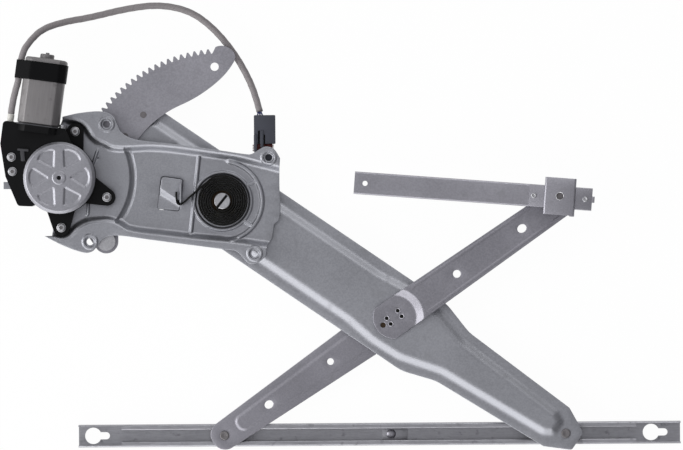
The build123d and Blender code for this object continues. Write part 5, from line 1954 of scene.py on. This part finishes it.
@dataclass
class GuideRail(Assembly):
    """The short rail bolted to the door, its reinforcement, its folded bracket and its rivets."""

    body: ClassVar[str] = "fixed_rail"
    length: float = 249.5
    top: float = 46.0
    bracket_at: float = 215.5
    place: Matrix = field(
        default_factory=lambda: upright(138.5, 18.2) @ Matrix.Rotation(math.radians(-4.5), 4, "Z"))

    def hole(self, along: float, across: float, radius: float) -> Solid:
        """The cutter of a round hole."""
        loop = circle((along, across), radius, 32)
        return self.finish(prism("hole", loop, self.top - 4.0, self.top + 8.0, self.place), "zinc_pale")

    def rail(self) -> Solid:
        """The lipped rail, closed towards the motor side.

        Returns:
            The piece.
        """
        line = channel_line(11.8, self.top, RAIL_Z, 6.0, 1.8)
        stations = [0.0, 16.0, 120.0, self.length - 4.0, self.length]
        bar = lipped("fixed_rail_skin", line, stations, (16.0, self.length - 4.0), 1.8, self.place)
        return cut(self.finish(bar, "zinc_pale"), self.hole(11.3, 0.0, 2.7))

    def strip(self) -> Solid:
        """The strip riveted on the rail's end, with a small flat ear past it.

        Returns:
            The piece.
        """
        parts = []
        for back, over, half in ((66.0, 0.0, 11.2), (0.5, 2.6, 3.3)):
            low, high = self.length - back, self.length + over
            edge = [(low, -half), (high, -half), (high, half), (low, half)]
            part = prism("rail_reinforcement_skin", edge, self.top + 0.02, self.top + 1.0, self.place)
            parts.append(self.finish(bevelled(part, 0.3), "zinc_pale"))
        return joined("rail_reinforcement_skin", parts)

    def bracket(self) -> Solid:
        """The bracket across the rail, with two edges folded down, its bolt hole, a dull disc under the hole
        as painted shade, and its lower ear.

        Returns:
            The piece.
        """
        low, high = self.top + 1.0, self.top + 4.2
        along = Matrix.Translation((self.bracket_at * MM, 0.0, 0.0))
        turn = self.place @ along @ Matrix.Rotation(math.radians(90), 4, "Z")
        bracket = folded_bar("rail_bracket_skin", channel_line(16.4, high, low, None, 2.2),
                             [-18.5, -8.0, 8.0, 20.4], 2.0)
        bevelled(bracket, 0.35, 2, 60.0)
        bracket.data.transform(turn)
        self.finish(bracket, "zinc_pale")
        bolt = (self.bracket_at, 1.2)
        cut(bracket, self.hole(*bolt, 3.6))
        ring = [(3.65, high - 0.2), (3.65, high + 0.05), (3.9, high + 0.22), (4.3, high + 0.05),
                (4.3, high - 0.2)]
        where = self.place @ Matrix.Translation((bolt[0] * MM, bolt[1] * MM, 0.0))
        # A dull disc under the bolt hole, as painted shade inside the hole
        inner = prism("inner", circle(bolt, 4.6, 28), low + 0.05, high - 2.1, self.place)
        collar = self.finish(lathe("collar", ring, where, 36), "bright_zinc")
        ear_edge = rounded([(226.4, -19.3), (231.9, -19.3), (231.9, -17.0), (226.4, -17.0)], [0.8] * 4)
        ear = prism("ear", ear_edge, high - 2.0, high - 0.25, self.place)
        return joined("rail_bracket_skin", [bracket, collar, self.finish(ear, "zinc_pale"),
                                             self.finish(inner, "dull_steel")])

    def rivets(self) -> Solid:
        """Both rivets, with cupped heads.

        Returns:
            The piece.
        """
        seat = self.top + 1.0
        profile = [(0.0, seat + 0.35), (1.1, seat + 0.4), (1.7, seat + 0.95), (2.3, seat + 0.9),
                   (2.9, seat + 0.3), (2.9, seat), (2.0, seat), (2.0, self.top - 1.2), (0.0, self.top - 1.2)]
        made = []
        for back in (61.1, 7.3):
            where = self.place @ Matrix.Translation(((self.length - back) * MM, 0.0, 0.0))
            made.append(self.finish(lathe("rivet", profile, where, 28), "bright_zinc"))
        return joined("rail_rivets_skin", made)

    def pieces(self) -> Pieces:
        """The rail, its strip, its bracket and its rivets.

        Returns:
            Each piece with its slot and its node.
        """
        return ((self.rail(), "galvanised_steel", "fixed_rail"),
                (self.strip(), "galvanised_steel", "rail_reinforcement"),
                (self.bracket(), "galvanised_steel", "rail_bracket"),
                (self.rivets(), "bright_steel", "rail_rivets"))


@dataclass
class Connector(Assembly):
    """The plug with its rails and slots, its ribbed seal and its three leads."""

    lead_route: SpotRoute = (
        (39.7, 1.4, 93.4), (39.7, 1.5, 92.4), (39.9, 2.2, 91.0), (40.0, 2.6, 89.4))

    def plug(self) -> Solid:
        """The housing with two raised rails, two slots and a stepped rear; the slots' walls are black as
        painted shade.

        Returns:
            The piece.
        """
        slate = self.finishes["slate_plastic"]
        body = box("connector_body_skin", (33.6, 56.1), (59.5, 89.8), (26.2, 36.6), 1.0, slate)
        # The cutters' black finish stays on the slots' walls, as painted shade in the slots
        for x, y in (((37.8, 39.9), (58.0, 73.5)), ((43.8, 45.4), (58.0, 69.3))):
            body = cut(body, box("slot", x, y, (34.2, 38.5), 0.2, self.finishes["black_plastic"]))
        ledges = (((33.4, 36.8), (51.5, 69.4), (34.6, 37.6), 0.7),
                  ((40.4, 43.6), (55.7, 73.6), (34.6, 37.7), 0.7),
                  ((33.8, 35.2), (50.5, 71.5), (27.2, 33.0), 0.6),
                  ((38.0, 52.6), (41.6, 52.0), (29.0, 34.6), 0.8))
        parts = [box("ledge", x, y, z, edge, slate) for x, y, z, edge in ledges]
        return joined("connector_body_skin", [body] + parts)

    def seal(self) -> Solid:
        """The seal's core and four ribs, one rib copied.

        Returns:
            The piece.
        """
        red = self.finishes["red_rubber"]
        core = box("connector_seal_skin", (33.4, 53.0), (51.5, 59.6), (28.9, 34.0), 0.8, red)
        rib = box("rib", (32.0, 54.4), (57.7, 58.8), (28.4, 34.5), 0.5, red)
        return joined("connector_seal_skin", [core, copied(rib, [(0.0, -1.9 * k) for k in (1, 2, 3)])])

    def leads(self) -> Solid:
        """Three short leads between the sleeve and the plug.

        Returns:
            The piece.
        """
        made = []
        for k in (-1, 0, 1):
            lead = nurbs("lead", [at(x + spread * k, y, 30.0 + 0.4 * k) for x, spread, y in self.lead_route])
            lead.data.bevel_depth = 0.85 * MM
            lead.data.use_fill_caps = True
            only(lead)
            bpy.ops.object.convert(target="MESH")
            made.append(self.finish(lead, "blue_wire"))
        return joined("wire_leads_skin", made)

    def pieces(self) -> Pieces:
        """The plug, the seal and the leads."""
        return ((self.plug(), "grey_plastic", "connector_body"), (self.seal(), "red_seal", "connector_seal"),
                (self.leads(), "wire", "wire_leads"))


@dataclass
class Harness(Assembly):
    """The taped harness from the motor's ferrule to the plug."""

    radius: float = 3.6
    sides: int = 20
    lap_depth: float = 0.22
    route: SpotRoute = (
        (-220.4, 92.7, 44.1), (-218.2, 108.5, 44.1), (-211.6, 130.0, 44.1), (-208.7, 155.5, 44.1),
        (-201.2, 168.0, 41.0), (-187.5, 182.0, 35.0), (-164.0, 189.6, 28.0), (-138.0, 193.8, 22.5),
        (-101.0, 203.0, 18.5), (-66.0, 207.4, 17.5), (-33.0, 200.5, 19.0), (-9.0, 182.5, 20.2),
        (12.0, 157.5, 20.2), (27.0, 131.5, 21.0), (35.5, 110.5, 25.2), (39.7, 93.6, 30.0),
    )

    def centreline(self) -> List[Vector]:
        """Points read from the smooth NURBS line through the route.

        Returns:
            The points, in metres.
        """
        line = nurbs("harness_line", [at(*place) for place in self.route])
        line.data.splines[0].resolution_u = 14
        bpy.context.view_layer.update()
        mesh = bpy.data.meshes.new_from_object(line.evaluated_get(bpy.context.evaluated_depsgraph_get()))
        points = [v.co.copy() for v in mesh.vertices]
        bpy.data.meshes.remove(mesh)
        bpy.data.objects.remove(line)
        return points

    def tube(self, points: Sequence[Vector], lengths: Sequence[float]) -> Solid:
        """The tube along a line, its ends closed, with the winding of the tape.

        Args:
            points: The line, in metres.
            lengths: How far along it each point is.

        Returns:
            The tube.
        """
        sides, count = self.sides, len(points)
        side = Vector((0.0, 0.0, 1.0))
        vertices: List[Vector] = []
        for k, point in enumerate(points):
            along = (points[min(k + 1, count - 1)] - points[max(k - 1, 0)]).normalized()
            side = (side - along * side.dot(along)).normalized()
            over = along.cross(side)
            for j in range(sides):
                angle = 2 * math.pi * j / sides
                lap = (lengths[k] / TAPE_LAP + j / sides) % 1.0
                radius = (self.radius - self.lap_depth * lap) * MM
                vertices.append(point + (side * math.cos(angle) + over * math.sin(angle)) * radius)
        vertices += [points[0], points[-1]]
        faces: List[Tuple[int, ...]] = []
        wraps: List[List[Place]] = []
        for k in range(count - 1):
            row, nxt = k * sides, (k + 1) * sides
            for j in range(sides):
                turn, low, high = (j + 1) % sides, j / sides, (j + 1) / sides
                faces.append((row + j, row + turn, nxt + turn, nxt + j))
                wraps.append([(u, lengths[v]) for u, v in ((low, k), (high, k), (high, k + 1), (low, k + 1))])
        last, hub = (count - 1) * sides, count * sides
        for j in range(sides):
            turn = (j + 1) % sides
            faces += [(turn, j, hub), (last + j, last + turn, hub + 1)]
            wraps += [[(0.0, 0.0)] * 3, [(0.0, lengths[-1])] * 3]
        tube = new_piece("taped_harness", vertices, faces)
        layer = tube.data.uv_layers.new(name=WRAP)
        for polygon, wrap in zip(tube.data.polygons, wraps):
            for loop, place in zip(polygon.loop_indices, wrap):
                layer.data[loop].uv = place
        bpy.ops.object.shade_smooth()
        tube.data.materials.append(self.finishes["taped_sleeve"])
        return tube

    def build(self) -> List[Solid]:
        """Returns:
            The pieces.
        """
        points = self.centreline()
        lengths = [0.0]
        for a, b in zip(points, points[1:]):
            lengths.append(lengths[-1] + (b - a).length)
        tube = shown(self.tube(points, lengths), self.body, "harness_sleeve", "harness_cord")
        at(*self.route[0])
        LOG.info("harness %.0f mm long", lengths[-1] / MM)
        return [tube]


# Studio


@dataclass
class Studio:
    """A white floor and plain soft light, with a camera straight above."""

    reach: float = 5.0
    width: float = 717.2
    centre: Place = (124.8, -26.1)
    roll: float = -0.4
    middle: Spot = (0.25, -0.1, 0.0)

    def floor(self) -> None:
        """A wide white floor under the lowest piece."""
        low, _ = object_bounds()
        bpy.ops.mesh.primitive_plane_add(size=8.0, location=(*self.middle[:2], low[2] - 0.0002))
        floor = bpy.context.object
        floor.name = "studio_floor"
        paint = Paint("studio_floor")
        paint.set(Base_Color=(0.8, 0.8, 0.8, 1.0), Roughness=0.9)
        rays = paint.node("ShaderNodeLightPath", {}, {})
        camera, gloss, through_glass = (
            Value(paint, rays.outputs["Is %s Ray" % kind]) for kind in ("Camera", "Glossy", "Transmission"))
        seen = (camera + gloss + through_glass).between(0.0, 1.0) * 0.97
        glow = paint.out("ShaderNodeEmission", {"Color": (*WHITE, 1.0), "Strength": 1.0})
        mixed = paint.out("ShaderNodeMixShader", {0: seen, 1: paint.shader.outputs[0], 2: glow})
        paint.feed(paint.output.inputs["Surface"], mixed)
        floor.data.materials.append(paint.material)
        floor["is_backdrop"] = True

    def sky(self) -> None:
        """White where it is seen; for the object brighter low down, and dimmer on the right."""
        world = bpy.data.worlds.new("studio_world")
        world.use_nodes = True
        nodes = Nodes(world.node_tree)
        way = nodes.node("ShaderNodeSeparateXYZ", {}, {0: nodes.out("ShaderNodeTexCoord", {}, "Generated")})
        height = nodes.fade(way.outputs[2], (0.0, WHITE), (0.9, (0.62, 0.62, 0.64)))
        side = nodes.fade(way.outputs[0], (0.15, WHITE), (0.75, (0.22, 0.22, 0.23)))
        shaded = nodes.out("ShaderNodeMix", {0: 1.0, 6: height, 7: side}, 2, data_type="RGBA",
                           blend_type="MULTIPLY")
        dim = nodes.out("ShaderNodeBackground", {"Color": shaded, "Strength": 0.9})
        bright = nodes.out("ShaderNodeBackground", {"Color": (*WHITE, 1.0)})
        seen = nodes.out("ShaderNodeLightPath", {}, "Is Camera Ray")
        mixed = nodes.out("ShaderNodeMixShader", {0: seen, 1: dim, 2: bright})
        nodes.node("ShaderNodeOutputWorld", {}, {0: mixed})
        bpy.context.scene.world = world

    def lamp(self, name: str, place: Spot, size: float, power: float) -> None:
        """One square soft lamp that looks at the object's middle.

        Args:
            name: The lamp's name.
            place: Where it stands, in metres.
            size: Its side, in metres.
            power: Its power, in watts.
        """
        light = bpy.data.lights.new(name, "AREA")
        light.size = size
        light.energy = power
        lamp = bpy.data.objects.new(name, light)
        bpy.context.scene.collection.objects.link(lamp)
        lamp.location = place
        aim = Vector(self.middle) - Vector(place)
        lamp.rotation_euler = aim.to_track_quat("-Z", "Y").to_euler()

    def camera(self) -> None:
        """The camera straight above, far off with a long lens."""
        data = bpy.data.cameras.new("camera")
        data.lens = 36.0 * self.reach / (self.width * MM)
        data.clip_end = 60.0
        camera = bpy.data.objects.new("camera", data)
        bpy.context.scene.collection.objects.link(camera)
        spot = at(*self.centre, 30.0)
        camera.location = (spot.x, spot.y, spot.z + self.reach)
        camera.rotation_euler = (0.0, 0.0, math.radians(self.roll))
        bpy.context.scene.camera = camera

    def build(self) -> None:
        """Set up the whole studio."""
        self.camera()
        self.sky()
        self.floor()
        self.lamp("lamp_left", (-1.6, -0.2, 0.9), 1.4, 25.0)
        self.lamp("lamp_front", (-0.45, -1.85, 0.75), 2.0, 24.0)
        self.lamp("lamp_back", (0.9, 1.6, 1.6), 1.2, 12.0)
        bpy.context.scene.view_settings.view_transform = "Standard"


def dress_nodes(frame: Dict[str, object], finishes: Finishes) -> None:
    """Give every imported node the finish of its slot.

    Args:
        frame: The loaded frame.
        finishes: The finishes.
    """
    slots = {entry["node"]: entry["material_slot"] for entry in frame["record"]["subparts"]}
    for name, node in frame["nodes"].items():
        node.data.materials.clear()
        node.data.materials.append(finishes[NODE_FINISH.get(name) or SLOT_FINISH[slots[name]]])


def main() -> None:
    """Build the regulator's pieces in order."""
    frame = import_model()
    finishes = Finishes()
    studio = Studio()
    studio.build()
    dress_nodes(frame, finishes)
    for part in (Connector, Harness, MountingPlate, LiftArm, Equaliser, GearCover, Fasteners, Motor, Spring,
                 Channels, GuideRail):
        for piece in part(finishes).build():
            LOG.info("%s: %d faces", piece.name, len(piece.data.polygons))


if __name__ == "__main__":
    logging.basicConfig(level=logging.INFO)
    main()
